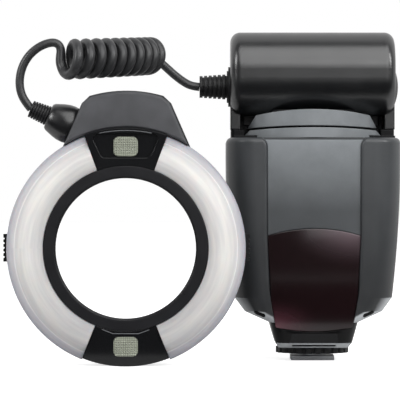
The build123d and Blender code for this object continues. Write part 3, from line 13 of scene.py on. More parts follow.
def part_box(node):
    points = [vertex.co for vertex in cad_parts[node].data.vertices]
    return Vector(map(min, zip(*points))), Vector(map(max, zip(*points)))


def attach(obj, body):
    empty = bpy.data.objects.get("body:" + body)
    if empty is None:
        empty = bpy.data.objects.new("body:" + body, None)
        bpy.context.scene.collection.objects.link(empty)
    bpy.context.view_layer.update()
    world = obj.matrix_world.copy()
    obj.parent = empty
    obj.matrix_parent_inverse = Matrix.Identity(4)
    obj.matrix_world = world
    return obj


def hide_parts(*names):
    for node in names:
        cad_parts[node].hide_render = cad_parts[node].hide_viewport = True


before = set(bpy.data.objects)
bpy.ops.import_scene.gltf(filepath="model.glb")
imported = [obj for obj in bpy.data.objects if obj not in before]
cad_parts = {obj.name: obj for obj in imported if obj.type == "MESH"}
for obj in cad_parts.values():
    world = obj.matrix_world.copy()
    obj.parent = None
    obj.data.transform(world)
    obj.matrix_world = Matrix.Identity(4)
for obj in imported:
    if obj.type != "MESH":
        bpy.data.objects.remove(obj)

log = logging.getLogger("ring_flash")

Point = tuple[float, float, float]
Place = tuple[float, float]
Colour = tuple[float, float, float]
Stops = tuple[tuple[float, Colour], ...]
SkinSpot = tuple[Vector, Vector]
Shape = bmesh.types.BMesh
Socket = bpy.types.NodeSocket
Sockets = bpy.types.bpy_prop_collection
Node = bpy.types.Node
NodeTree = bpy.types.NodeTree
Material = bpy.types.Material

ROOT_BODY = "flash_frame"
# How far a face must look down before the painted floor reflection starts, and how fast it grows.
PAINTED_REFLECTION_START = 0.25
PAINTED_REFLECTION_SLOPE = 4.0
MID_VALUE = 0.5
AHEAD_OF_ALL = -0.2
GRAIN_HEIGHT = 0.00004
LINE_HEIGHT = 0.00002
EASE_PROFILE = 0.6


@dataclass(frozen=True)
class Layout:
    """Places shared by the sub-assemblies, in metres, as the solids have them."""

    unit_x: float = 0.04675
    unit_y: float = 0.0140
    ring_x: float = -0.03235
    ring_z: float = 0.0488


PLAN = Layout()


class Effect(Enum):
    """Shader effects that several finishes share."""

    MOULDED_GRAIN = "moulded_grain"
    HAND_MARKS = "hand_marks"
    DRAWN_LINES = "drawn_lines"


class Spread(Enum):
    """How a tone wanders over a finish."""

    CALM = 0.35
    CORD = 0.6
    LIVELY = 0.8


@dataclass
class NodeBench:
    """Short ways to place and join nodes in one node tree."""

    tree: NodeTree

    def add(self, kind: str, **values: object) -> Node:
        """Place a shader node and set its properties.

        Args:
            kind: the node's type name after the words that all shader nodes share.
            **values: properties of the node.

        Returns:
            The new node.
        """
        node = self.tree.nodes.new(f"ShaderNode{kind}")
        for name, value in values.items():
            setattr(node, name, value)
        return node

    def put(self, target: Socket, value: object) -> None:
        """Link a socket into an input, or set the input's own number, vector or colour.

        Args:
            target: the input.
            value: a socket or a plain value, with three numbers for a colour.
        """
        if isinstance(value, Socket):
            self.tree.links.new(value, target)
        else:
            target.default_value = (*value, 1.0) if target.type == "RGBA" else value

    def feed(self, node: Node, *values: object, **inputs: object) -> Node:
        """Set or link a node's inputs, in their order or by name, with underscores for spaces.

        Args:
            node: the node that is fed.
            *values: sockets to link, or plain values, for its first inputs.
            **inputs: the same for the inputs of these names.

        Returns:
            The same node.
        """
        for target, value in zip(node.inputs, values):
            self.put(target, value)
        for name, value in inputs.items():
            self.put(node.inputs[name.replace("_", " ")], value)
        return node

    def maths(self, operation: str, *values: object, clamp: bool = False) -> Socket:
        """Result of a Math node, kept between 0 and 1 where it is clamped."""
        return self.feed(self.add("Math", operation=operation, use_clamp=clamp), *values).outputs[0]

    def scaled(self, value: Socket, start: float, rate: object, clamp: bool = False) -> Socket:
        """How far a value lies past a start, times a rate."""
        return self.maths("MULTIPLY", self.maths("SUBTRACT", value, start), rate, clamp=clamp)

    def vector(self, operation: str, *values: object) -> Socket:
        """Result of a Vector Math node, which is a number for a length."""
        node = self.feed(self.add("VectorMath", operation=operation), *values)
        return node.outputs["Value" if operation == "LENGTH" else "Vector"]

    def split(self, vector: Socket) -> Sockets:
        """The X, Y and Z sockets of a vector."""
        return self.feed(self.add("SeparateXYZ"), vector).outputs

    def place(self) -> Socket:
        """The object's own coordinates, in metres in the row frame."""
        return self.add("TexCoord").outputs["Object"]

    def noise(self, scale: object, detail: float, vector: Optional[Socket] = None) -> Socket:
        """Noise of so many cells per metre and octaves, on the object's or other coordinates."""
        node = self.feed(self.add("TexNoise"), Scale=scale, Detail=detail, Vector=vector or self.place())
        return node.outputs["Fac"]

    def soft_edge(self, radius: float) -> Socket:
        """Normal that rounds sharp edges by a small radius."""
        return self.feed(self.add("Bevel", samples=6), Radius=radius).outputs[0]

    def bump(self, height: Socket, strength: object, distance: float, normal: Socket) -> Socket:
        """Normal with a relief on it, whose full height is a distance in metres."""
        relief = {"Height": height, "Strength": strength, "Distance": distance, "Normal": normal}
        return self.feed(self.add("Bump"), **relief).outputs[0]

    def ramp(self, value: Socket, stops: Stops) -> Socket:
        """Turn a value into a colour.

        Args:
            value: the driving socket.
            stops: places and colours along the ramp.

        Returns:
            The colour socket.
        """
        node = self.feed(self.add("ValToRGB"), Fac=value)
        elements = node.color_ramp.elements
        while len(elements) < len(stops):
            elements.new(0.5)
        for element, (place, colour) in zip(elements, stops):
            element.position = place
            element.color = (*colour, 1.0)
        return node.outputs["Color"]

    def blend(self, share: object, first: object, second: object, kind: str = "MIX") -> Socket:
        """Mix two colours.

        Args:
            share: socket or number, how much of the second.
            first: socket or colour.
            second: socket or colour.
            kind: the blend type.

        Returns:
            The mixed colour socket.
        """
        node = self.add("Mix", data_type="RGBA", blend_type=kind)
        for index, value in ((0, share), (6, first), (7, second)):
            self.put(node.inputs[index], value)
        return node.outputs[2]

    def effect(self, effect: Effect, **inputs: object) -> Sockets:
        """Place an effect's group with its own values and give its outputs."""
        return self.feed(self.add("Group", node_tree=EFFECTS.get(effect)), **inputs).outputs


@dataclass
class EffectGroups:
    """Shader node groups, each built once and placed in every material that needs it."""

    cloud_scale: float = 140.0
    cloud_gloss: float = 0.35
    smear_scale: float = 45.0
    dust_scale: float = 2600.0
    dust_level: float = 0.72
    line_stretch: Point = (60.0, 4000.0, 4000.0)
    line_gloss: float = 0.25
    built: dict[Effect, NodeTree] = field(default_factory=dict)

    def get(self, effect: Effect) -> NodeTree:
        """The group of an effect, built on first use.

        Args:
            effect: which effect.

        Returns:
            Its node tree.
        """
        if effect not in self.built:
            self.built[effect] = getattr(self, f"_{effect.value}")()
        return self.built[effect]

    @staticmethod
    def _start(effect: Effect, inputs: dict[str, str], outputs: dict[str, str]) -> tuple:
        """Open a group with its named sockets.

        Args:
            effect: the effect that names the group.
            inputs: names and kinds of socket.
            outputs: names and kinds of socket.

        Returns:
            The bench, the sockets that come in and the group's output node.
        """
        tree = bpy.data.node_groups.new(effect.value, "ShaderNodeTree")
        for direction, sockets in (("INPUT", inputs), ("OUTPUT", outputs)):
            for name, kind in sockets.items():
                tree.interface.new_socket(name, in_out=direction, socket_type=f"NodeSocket{kind}")
        given = tree.nodes.new("NodeGroupInput").outputs
        return NodeBench(tree), given, tree.nodes.new("NodeGroupOutput")

    def _moulded_grain(self) -> NodeTree:
        """Fine spark-eroded grain with a slow wander of tone and gloss.

        Returns:
            The group's node tree.
        """
        bench, given, made = self._start(
            Effect.MOULDED_GRAIN,
            {
                "Tone": "Color", "Tone Spread": "Float", "Gloss": "Float", "Grain Scale": "Float",
                "Grain Depth": "Float", "Normal": "Vector",
            },
            {"Colour": "Color", "Roughness": "Float", "Normal": "Vector"},
        )
        grain = bench.noise(given["Grain Scale"], 3.0)
        wander = bench.scaled(bench.noise(self.cloud_scale, 4.0), MID_VALUE, given["Tone Spread"])
        fleck = bench.scaled(grain, MID_VALUE, given["Tone Spread"])
        light = bench.maths("ADD", 1.0, bench.maths("ADD", wander, fleck))
        tone = bench.feed(bench.add("VectorMath", operation="SCALE"), given["Tone"], Scale=light)
        bench.feed(
            made, Colour=tone.outputs[0],
            Roughness=bench.maths("ADD", given["Gloss"], bench.maths("MULTIPLY", wander, self.cloud_gloss)),
            Normal=bench.bump(grain, given["Grain Depth"], GRAIN_HEIGHT, given["Normal"]),
        )
        return bench.tree

    def _hand_marks(self) -> NodeTree:
        """Faint smears and dust on a polished surface.

        Returns:
            The group's node tree.
        """
        bench, given, made = self._start(
            Effect.HAND_MARKS, {"Gloss": "Float", "Marks": "Float"}, {"Roughness": "Float", "Mask": "Float"}
        )
        smears = bench.maths("POWER", bench.noise(self.smear_scale, 5.0), 3.0)
        specks = bench.maths("GREATER_THAN", bench.noise(self.dust_scale, 1.0), self.dust_level)
        mask = bench.maths("MULTIPLY", bench.maths("ADD", smears, specks), given["Marks"])
        bench.feed(made, Mask=mask, Roughness=bench.maths("ADD", given["Gloss"], mask))
        return bench.tree

    def _drawn_lines(self) -> NodeTree:
        """Long fine lines of brushed or drawn metal along X.

        Returns:
            The group's node tree.
        """
        bench, given, made = self._start(
            Effect.DRAWN_LINES,
            {"Gloss": "Float", "Depth": "Float", "Normal": "Vector"},
            {"Roughness": "Float", "Normal": "Vector"},
        )
        stretched = bench.vector("MULTIPLY", bench.place(), self.line_stretch)
        lines = bench.noise(1.0, 3.0, stretched)
        bench.feed(
            made,
            Roughness=bench.maths("ADD", given["Gloss"], bench.maths("MULTIPLY", lines, self.line_gloss)),
            Normal=bench.bump(lines, given["Depth"], LINE_HEIGHT, given["Normal"]),
        )
        return bench.tree


EFFECTS = EffectGroups()


def open_material(name: str) -> tuple[Material, NodeBench, Node]:
    """Make a material with one Principled shader.

    Args:
        name: the material's name.

    Returns:
        The material, a bench on its tree and the shader node.
    """
    material = bpy.data.materials.new(name)
    material.use_nodes = True
    material.node_tree.nodes.clear()
    bench = NodeBench(material.node_tree)
    shader = bench.add("BsdfPrincipled")
    bench.feed(bench.add("OutputMaterial"), Surface=shader.outputs[0])
    return material, bench, shader


@dataclass(frozen=True)
class Finish:
    """A material with one Principled shader, which each kind of finish shades in its own way."""

    name: str

    def shade(self, bench: NodeBench, shader: Node) -> None:
        """Feed the shader.

        Args:
            bench: the material's bench.
            shader: its Principled shader.
        """
        raise NotImplementedError

    def build(self) -> Material:
        """Make the material.

        Returns:
            The material.
        """
        material, bench, shader = open_material(self.name)
        self.shade(bench, shader)
        return material


@dataclass(frozen=True)
class MouldedPlastic(Finish):
    """Satin or matt moulded plastic or rubber with a fine grain; an edge of 0 leaves its edges sharp. It can
    carry painted shade, darker lower down, and a painted floor reflection, lighter on faces that look down.
    """

    tone: Colour
    gloss: float = 0.42
    grain_scale: float = 7000.0
    grain_depth: float = 0.35
    edge: float = 0.0006
    specular: float = 0.5
    spread: Spread = Spread.CALM
    # Painted shade: the tone darkens to a given darker tone towards the lower of two heights.
    painted_shade_tone: Optional[Colour] = None
    painted_shade_heights: Place = (0.0, 0.1)
    # Painted floor reflection: faces that look down are lightened towards a given pale tone.
    painted_floor_reflection_tone: Optional[Colour] = None

    def _toned(self, bench: NodeBench) -> object:
        """The base tone, with painted shade that darkens it lower down and a painted floor reflection that
        lightens faces that look down, where these are set.

        Args:
            bench: the material's bench.

        Returns:
            A colour socket, or a plain colour where the tone is the same all over.
        """
        tone: object = self.tone
        # Painted shade, darker lower down.
        if self.painted_shade_tone:
            low, high = self.painted_shade_heights
            above = bench.scaled(bench.split(bench.place())["Z"], low, 1.0 / (high - low), clamp=True)
            tone = bench.blend(above, self.painted_shade_tone, tone)
        # Painted floor reflection on faces that look down.
        if self.painted_floor_reflection_tone:
            upward = bench.split(bench.soft_edge(self.edge))["Z"]
            painted_reflection_share = bench.scaled(bench.maths("MULTIPLY", upward, -1.0), PAINTED_REFLECTION_START, PAINTED_REFLECTION_SLOPE, clamp=True)
            tone = bench.blend(painted_reflection_share, tone, self.painted_floor_reflection_tone)
        return tone

    def shade(self, bench: NodeBench, shader: Node) -> None:
        """Feed the shader.

        Args:
            bench: the material's bench.
            shader: its Principled shader.
        """
        eased = {"Normal": bench.soft_edge(self.edge)} if self.edge else {}
        grain = bench.effect(
            Effect.MOULDED_GRAIN, Tone=self._toned(bench), Tone_Spread=self.spread.value, Gloss=self.gloss,
            Grain_Scale=self.grain_scale, Grain_Depth=self.grain_depth, **eased,
        )
        bench.feed(
            shader, Base_Color=grain["Colour"], Roughness=grain["Roughness"], Normal=grain["Normal"],
            Specular_IOR_Level=self.specular,
        )


@dataclass(frozen=True)
class PolishedPlastic(Finish):
    """Gloss plastic with faint hand marks."""

    tone: Colour
    gloss: float = 0.08
    marks: float = 0.08
    edge: float = 0.0003
    specular: float = 0.5

    def shade(self, bench: NodeBench, shader: Node) -> None:
        """Feed the shader.

        Args:
            bench: the material's bench.
            shader: its Principled shader.
        """
        marks = bench.effect(Effect.HAND_MARKS, Gloss=self.gloss, Marks=self.marks)
        pale = tuple(min(1.0, tone * 1.5 + 0.01) for tone in self.tone)
        bench.feed(
            shader, Base_Color=bench.blend(marks["Mask"], self.tone, pale), Roughness=marks["Roughness"],
            Normal=bench.soft_edge(self.edge), Specular_IOR_Level=self.specular,
        )


@dataclass(frozen=True)
class RubyWindow(Finish):
    """Deep red filter with painted reflections: lighter pinkish patches towards two of its corners."""

    name: str = "ruby_window"
    heart: Colour = (0.0075, 0.0030, 0.0036)
    # Painted reflections: the centre, pale colour and reach of each patch.
    painted_reflections: tuple[tuple[Point, Colour, float], ...] = (
        ((0.0640, 0.0, 0.0580), (0.120, 0.085, 0.098), 0.030),
        ((0.0300, 0.0, 0.0150), (0.075, 0.024, 0.034), 0.021),
    )
    flatten: Point = (1.0, 0.0, 1.6)
    gloss: float = 0.12
    marks: float = 0.02
    edge: float = 0.0006

    def shade(self, bench: NodeBench, shader: Node) -> None:
        """Feed the shader.

        Args:
            bench: the material's bench.
            shader: its Principled shader.
        """
        colour: object = self.heart
        # Paint in each reflection, fading with distance from its centre.
        for middle, glow, reach in self.painted_reflections:
            away = bench.vector("MULTIPLY", bench.vector("SUBTRACT", bench.place(), middle), self.flatten)
            reached = bench.maths("MULTIPLY", bench.vector("LENGTH", away), 1.0 / reach)
            near = bench.maths("SUBTRACT", 1.0, reached, clamp=True)
            colour = bench.blend(bench.maths("POWER", near, 2.0), colour, glow)
        marks = bench.effect(Effect.HAND_MARKS, Gloss=self.gloss, Marks=self.marks)
        bench.feed(shader, Base_Color=colour, Roughness=marks["Roughness"], Normal=bench.soft_edge(self.edge))


@dataclass(frozen=True)
class DrawnMetal(Finish):
    """Brushed, drawn or plated metal."""

    tone: Colour
    gloss: float = 0.22
    depth: float = 0.3
    edge: float = 0.0002
    tarnish_scale: float = 300.0
    tarnish: float = 0.8

    def shade(self, bench: NodeBench, shader: Node) -> None:
        """Feed the shader.

        Args:
            bench: the material's bench.
            shader: its Principled shader.
        """
        lines = bench.effect(
            Effect.DRAWN_LINES, Gloss=self.gloss, Depth=self.depth, Normal=bench.soft_edge(self.edge)
        )
        dull = tuple(tone * self.tarnish for tone in self.tone)
        bench.feed(
            shader, Base_Color=bench.blend(bench.noise(self.tarnish_scale, 4.0), self.tone, dull),
            Roughness=lines["Roughness"], Normal=lines["Normal"], Metallic=1.0,
        )


@dataclass(frozen=True)
class ClearGlass(Finish):
    """Clear glass or a clear window."""

    tone: Colour
    gloss: float = 0.02
    marks: float = 0.04
    refraction: float = 1.47

    def shade(self, bench: NodeBench, shader: Node) -> None:
        """Feed the shader.

        Args:
            bench: the material's bench.
            shader: its Principled shader.
        """
        marks = bench.effect(Effect.HAND_MARKS, Gloss=self.gloss, Marks=self.marks)
        bench.feed(
            shader, Base_Color=self.tone, Roughness=marks["Roughness"], Transmission_Weight=1.0,
            IOR=self.refraction,
        )


@dataclass(frozen=True)
class FrostedCover(Finish):
    """Frosted diffuser: pale, with soft streaks round the ring, and painted light: painted shade at the inner
    edge, in a cool outer band and towards both ends, and a painted glow in a bright band.
    """

    name: str = "frosted_diffuser"
    heart: Colour = (0.665, 0.65, 0.615)
    streak: Colour = (0.54, 0.53, 0.525)
    inner_radius: float = 0.0340
    width: float = 0.0160
    height: float = 0.098
    streak_stretch: Place = (1.1, 420.0)
    streak_scale: float = 1.6
    gloss: float = 0.26
    grain_scale: float = 5200.0
    grain_depth: float = 0.12
    edge: float = 0.0005
    specular: float = 0.22
    scatter: float = 0.15
    scatter_depth: float = 0.002
    # Painted light across the ring's width: painted shade towards the inner edge and in the cool outer band,
    # and a painted glow in the bright band near 0.765.
    rings: Stops = (
        (0.0, (0.66, 0.66, 0.68)), (0.10, (0.76, 0.76, 0.77)), (0.30, (0.88, 0.88, 0.885)),
        (0.45, (1.0, 1.0, 0.99)), (0.68, (0.94, 0.94, 0.945)), (0.745, (0.92, 0.92, 0.94)),
        (0.765, (1.14, 1.14, 1.15)), (0.79, (0.80, 0.80, 0.84)), (0.86, (0.70, 0.705, 0.76)),
        (1.0, (0.60, 0.61, 0.70)),
    )
    # Painted shade towards the bottom and the top ends.
    ends: Stops = (
        (0.05, (0.66, 0.66, 0.68)), (0.45, (1.0, 1.0, 1.0)), (0.78, (1.0, 1.0, 1.0)),
        (1.0, (0.80, 0.80, 0.82)),
    )

    def shade(self, bench: NodeBench, shader: Node) -> None:
        """Feed the shader.

        Args:
            bench: the material's bench.
            shader: its Principled shader.
        """
        shifted = bench.vector("SUBTRACT", bench.place(), (PLAN.ring_x, 0.0, PLAN.ring_z))
        radius = bench.vector("LENGTH", bench.vector("MULTIPLY", shifted, (1.0, 0.0, 1.0)))
        parts = bench.split(shifted)
        angle = bench.maths("ARCTAN2", parts["Z"], parts["X"])
        swept = bench.add("CombineXYZ")
        for target, value, stretch in zip(swept.inputs, (angle, radius), self.streak_stretch):
            bench.put(target, bench.maths("MULTIPLY", value, stretch))
        streaks = bench.noise(self.streak_scale, 4.0, swept.outputs[0])
        body = bench.blend(bench.scaled(streaks, 0.38, 2.2), self.streak, self.heart)
        # Paint the light: the rings ramp by radius and the ends ramp by height.
        rings = bench.ramp(bench.scaled(radius, self.inner_radius, 1.0 / self.width), self.rings)
        upward = bench.maths("MULTIPLY", bench.maths("ADD", parts["Z"], PLAN.ring_z), 1.0 / self.height)
        painted_light_body = bench.blend(1.0, body, rings, "MULTIPLY")
        grain = bench.noise(self.grain_scale, 2.0)
        bench.feed(
            shader, Base_Color=bench.blend(1.0, painted_light_body, bench.ramp(upward, self.ends), "MULTIPLY"),
            Roughness=bench.maths("ADD", self.gloss, bench.maths("MULTIPLY", streaks, 0.15)),
            Normal=bench.bump(grain, self.grain_depth, GRAIN_HEIGHT, bench.soft_edge(self.edge)),
            Specular_IOR_Level=self.specular, Subsurface_Weight=self.scatter,
            Subsurface_Scale=self.scatter_depth,
        )


@dataclass(frozen=True)
class PrismLens(Finish):
    """Clear lamp lens with a fine grid of prisms behind its face."""

    name: str = "prism_lens"
    tone: Colour = (0.185, 0.197, 0.155)
    line: Colour = (0.06, 0.065, 0.055)
    pitch: float = 0.0009
    groove: float = 0.40
    relief: float = 0.0002
    gloss: float = 0.12
    edge: float = 0.0004
    coat: float = 0.6

    def shade(self, bench: NodeBench, shader: Node) -> None:
        """Feed the shader.

        Args:
            bench: the material's bench.
            shader: its Principled shader.
        """
        parts = bench.split(bench.place())
        cells = [bench.maths("FRACT", bench.maths("MULTIPLY", parts[way], 1.0 / self.pitch)) for way in "XZ"]
        sides = [bench.maths("ABSOLUTE", bench.maths("SUBTRACT", cell, MID_VALUE)) for cell in cells]
        ridge = bench.maths("MAXIMUM", *sides)
        line = bench.maths("GREATER_THAN", ridge, self.groove)
        blotch = bench.noise(500.0, 3.0)
        body = bench.blend(blotch, self.tone, tuple(tone * 1.7 for tone in self.tone))
        bench.feed(
            shader, Base_Color=bench.blend(bench.maths("MULTIPLY", line, 0.7), body, self.line),
            Roughness=bench.maths("ADD", self.gloss, bench.maths("MULTIPLY", blotch, 0.1)),
            Normal=bench.bump(ridge, 0.6, self.relief, bench.soft_edge(self.edge)), Coat_Weight=self.coat,
        )


@dataclass(frozen=True)
class PrintedBoard(Finish):
    """Green solder mask with copper tracks showing through."""

    name: str = "printed_board"
    mask: Colour = (0.012, 0.085, 0.035)
    track: Colour = (0.05, 0.22, 0.09)
    track_scale: float = 320.0
    track_width: float = 0.06
    gloss: float = 0.3
    edge: float = 0.0002

    def shade(self, bench: NodeBench, shader: Node) -> None:
        """Feed the shader.

        Args:
            bench: the material's bench.
            shader: its Principled shader.
        """
        tracks = bench.feed(
            bench.add("TexBrick", offset=0.35), Vector=bench.place(), Scale=self.track_scale,
            Mortar_Size=self.track_width,
        )
        share = bench.maths("SUBTRACT", 1.0, tracks.outputs["Fac"])
        shown = bench.maths("MULTIPLY", share, bench.noise(900.0, 3.0))
        bench.feed(
            shader, Base_Color=bench.blend(shown, self.track, self.mask),
            Roughness=bench.maths("ADD", self.gloss, bench.maths("MULTIPLY", share, 0.1)),
            Normal=bench.soft_edge(self.edge),
        )


@dataclass
class FinishShelf:
    """Every finish of the object by name, built on first use."""

    finishes: dict[str, Finish] = field(default_factory=dict)
    built: dict[str, Material] = field(default_factory=dict)

    def stock(self, *finishes: Finish) -> None:
        """Add finishes by their own names."""
        self.finishes.update({finish.name: finish for finish in finishes})

    def take(self, name: str) -> Material:
        """The material of a finish, built on first use.

        Args:
            name: the finish's name.

        Returns:
            Its material.
        """
        if name not in self.built:
            self.built[name] = self.finishes[name].build()
        return self.built[name]


SHELF = FinishShelf()
SHELF.stock(
    # Painted shade on the case, darker lower down, and a painted floor reflection on faces that look down.
    MouldedPlastic(
        "case_satin", (0.038, 0.041, 0.044), gloss=0.38, grain_depth=0.3, painted_shade_tone=(0.012, 0.013, 0.0145),
        painted_shade_heights=(0.024, 0.080), painted_floor_reflection_tone=(0.38, 0.395, 0.41),
    ),
    # Painted shade on the panel, darker lower down.
    MouldedPlastic(
        "panel_satin", (0.160, 0.173, 0.183), gloss=0.48, grain_depth=0.3, painted_shade_tone=(0.042, 0.046, 0.050),
        painted_shade_heights=(0.064, 0.094),
    ),
    MouldedPlastic(
        "barrel_satin", (0.0030, 0.0034, 0.0042), gloss=0.31, grain_depth=0.08, edge=0.0008, specular=1.0
    ),
    MouldedPlastic("collar_satin", (0.165, 0.177, 0.186), gloss=0.34, grain_depth=0.25, edge=0.0004),
    MouldedPlastic("hump_satin", (0.048, 0.049, 0.054), gloss=0.48, grain_depth=0.4, spread=Spread.LIVELY),
    MouldedPlastic("rear_satin", (0.014, 0.0145, 0.0155), gloss=0.42, specular=0.35),
    # Painted floor reflection on the chin's faces that look down.
    MouldedPlastic(
        "chin_gloss", (0.0030, 0.0030, 0.0032), gloss=0.22, grain_depth=0.05, specular=0.15, edge=0.0003,
        painted_floor_reflection_tone=(0.36, 0.375, 0.39),
    ),
    MouldedPlastic("neck_black", (0.004, 0.0042, 0.005), gloss=0.42, specular=0.2),
    MouldedPlastic("rim_black", (0.009, 0.009, 0.0105), gloss=0.30, grain_depth=0.12, specular=0.35),
    MouldedPlastic("soft_black", (0.006, 0.0065, 0.007), gloss=0.5, grain_depth=0.4, specular=0.25),
    MouldedPlastic("gland_black", (0.005, 0.0052, 0.006), gloss=0.30, grain_depth=0.25, specular=0.75),
    MouldedPlastic(
        "rubber_black", (0.007, 0.007, 0.008), gloss=0.50, grain_depth=0.5, specular=0.4, spread=Spread.LIVELY
    ),
    MouldedPlastic("holder_white", (0.62, 0.62, 0.59), gloss=0.4),
    MouldedPlastic("tray_black", (0.018, 0.018, 0.019), gloss=0.5),
    # Pale grey of the lips: painted highlight along the block edges.
    MouldedPlastic("lip_highlight_grey", (0.085, 0.088, 0.094), gloss=0.3, grain_depth=0.05, edge=0.0001),
    MouldedPlastic("print_white", (0.62, 0.63, 0.64), gloss=0.5, grain_depth=0.1),
    # Near-black for the slots: painted shade in place of their openings.
    MouldedPlastic("slot_painted_shade", (0.003, 0.003, 0.0035), gloss=0.6, grain_depth=0.1, specular=0.1),
    MouldedPlastic("segment_dark", (0.012, 0.016, 0.012), gloss=0.4, grain_depth=0.1),
    PolishedPlastic("gloss_black", (0.005, 0.0052, 0.0058), gloss=0.12, specular=0.3),
    PolishedPlastic("capacitor_sleeve", (0.012, 0.018, 0.032), gloss=0.25),
    PolishedPlastic("cell_sleeve", (0.02, 0.07, 0.16), gloss=0.22),
    PolishedPlastic("display_grey", (0.20, 0.235, 0.19), gloss=0.3),
    DrawnMetal("foot_steel", (0.30, 0.31, 0.32)),
    DrawnMetal("screw_zinc", (0.50, 0.50, 0.51), gloss=0.3),
    DrawnMetal("reflector_bright", (0.86, 0.87, 0.88), gloss=0.1, depth=0.1),
    DrawnMetal("contact_gilt", (0.78, 0.56, 0.22), gloss=0.2),
    DrawnMetal("winding_copper", (0.60, 0.26, 0.12), gloss=0.3, depth=0.6),
    ClearGlass("tube_glass", (0.92, 0.95, 0.98)),
    ClearGlass("display_glass", (0.75, 0.80, 0.78), gloss=0.05),
    RubyWindow(),
    FrostedCover(),
    PrismLens(),
    PrintedBoard(),
    MouldedPlastic(
        "cord_sheath", (0.0185, 0.019, 0.0205), gloss=0.40, grain_scale=2600.0, grain_depth=0.08, edge=0.0,
        specular=0.6, spread=Spread.CORD,
    ),
)

DRESSING: dict[str, str] = {
    "case_satin": "front_shell rear_shell battery_door",
    "panel_satin": "centre_panel",
    "barrel_satin": "barrel_housing",
    "collar_satin": "upper_collar lower_collar",
    "hump_satin": "hump_cover",
    "rear_satin": "ring_rear_cover rear_panel barrel_cap_left barrel_cap_right",
    "neck_black": "neck_plate neck_tube",
    "gland_black": "cord_gland",
    "rim_black": "ring_collar",
    "gloss_black": "top_block bottom_block lamp_module",
    "chin_gloss": "chin_cover",
    "ruby_window": "sensor_window",
    "frosted_diffuser": "diffuser_left diffuser_right",
    "prism_lens": "lamp_windows",
    "printed_board": "lamp_boards ring_board main_board",
    "soft_black": "lock_wheel release_latch_left release_latch_right",
    "rubber_black": "key_mat set_button left_button right_button mode_button lamp_button test_button"
    " power_switch ring_strain_relief unit_strain_relief",
    "tray_black": "battery_tray",
    "cell_sleeve": "battery_cells",
    "capacitor_sleeve": "main_capacitor",
    "winding_copper": "transformer",
    "display_grey": "display_module",
    "display_glass": "display_window",
    "foot_steel": "foot_plate lock_pin hinge_pin",
    "screw_zinc": "case_screws ring_screws",
    "reflector_bright": "reflectors",
    "contact_gilt": "inner_contacts door_contacts shoe_contacts",
    "tube_glass": "flash_tubes",
    "holder_white": "tube_holders",
}


def dress(finish: str, nodes: Sequence[str]) -> None:
    """Give CAD nodes a finish.

    Args:
        finish: name of the finish.
        nodes: names of the CAD nodes.
    """
    for node in nodes:
        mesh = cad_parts[node].data
        mesh.materials.clear()
        mesh.materials.append(SHELF.take(finish))
    log.info("%s: %s", finish, ", ".join(nodes))


def mesh_of(name: str, shape: Shape, material: Material) -> bpy.types.Mesh:
    """Turn a shape into a mesh of one material, and free the shape.

    Args:
        name: the mesh's name.
        shape: the shape.
        material: the material of all its faces.

    Returns:
        The mesh.
    """
    mesh = bpy.data.meshes.new(name)
    shape.to_mesh(mesh)
    shape.free()
    mesh.materials.append(material)
    return mesh


def set_out(name: str, data: bpy.types.ID) -> bpy.types.Object:
    """Put a new object in the scene.

    Args:
        name: the object's name.
        data: its mesh, curve, camera or lamp.

    Returns:
        The object.
    """
    made = bpy.data.objects.new(name, data)
    bpy.context.scene.collection.objects.link(made)
    return made


def make_piece(name: str, shape: Shape, finish: str, body: str = ROOT_BODY) -> bpy.types.Object:
    """Turn a shape into a finished piece that rides on a body.

    Args:
        name: the piece's name.
        shape: its shape.
        finish: name of its finish.
        body: the CAD body it rides on.

    Returns:
        The piece.
    """
    piece = set_out(name, mesh_of(name, shape, SHELF.take(finish)))
    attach(piece, body)
    log.info("made %s", name)
    return piece


@dataclass
class NodeSkin:
    """Looks up points on the fronts of the CAD nodes, for trim that lies on them."""

    trees: dict[str, BVHTree] = field(default_factory=dict)

    def meet(self, node: str, x: float, z: float) -> Optional[SkinSpot]:
        """The point of a node that is seen from the front at a place.

        Args:
            node: name of the CAD node.
            x: the place across.
            z: the place upward.

        Returns:
            The point and the surface's normal, or None where the node isn't there.
        """
        if node not in self.trees:
            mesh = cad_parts[node].data
            corners = [tuple(vertex.co) for vertex in mesh.vertices]
            faces = [tuple(face.vertices) for face in mesh.polygons]
            self.trees[node] = BVHTree.FromPolygons(corners, faces)
        point, normal, _, _ = self.trees[node].ray_cast(Vector((x, AHEAD_OF_ALL, z)), Vector((0, 1, 0)))
        return None if point is None else (point, normal)

    def line(self, node: str, places: Iterable[Place]) -> list[SkinSpot]:
        """Points and normals of a node's front at those of the places where it is."""
        met = [self.meet(node, x, z) for x, z in places]
        return [spot for spot in met if spot]


SKIN = NodeSkin()


def along(first: Place, last: Place, steps: int) -> list[Place]:
    """Places from one to another in even steps, with both ends."""
    shares = [step / steps for step in range(steps + 1)]
    return [tuple(near + (far - near) * share for near, far in zip(first, last)) for share in shares]


def ease_edges(shape: Shape, edges: Sequence[bmesh.types.BMEdge], ease: float) -> None:
    """Cut edges back a little with a round."""
    bmesh.ops.bevel(shape, geom=edges, offset=ease, profile=EASE_PROFILE, segments=2, affect="EDGES")


def block(shape: Shape, low: Point, high: Point, ease: float = 0.0002) -> None:
    """Add a small block with eased edges to a shape.

    Args:
        shape: the shape that gets it.
        low: its lowest corner.
        high: its highest corner.
        ease: how far its edges are cut back.
    """
    corners = bmesh.ops.create_cube(shape, size=1.0)["verts"]
    bmesh.ops.scale(shape, vec=[far - near for near, far in zip(low, high)], verts=corners)
    bmesh.ops.translate(shape, vec=[(near + far) / 2 for near, far in zip(low, high)], verts=corners)
    ease_edges(shape, list({edge for corner in corners for edge in corner.link_edges}), ease)


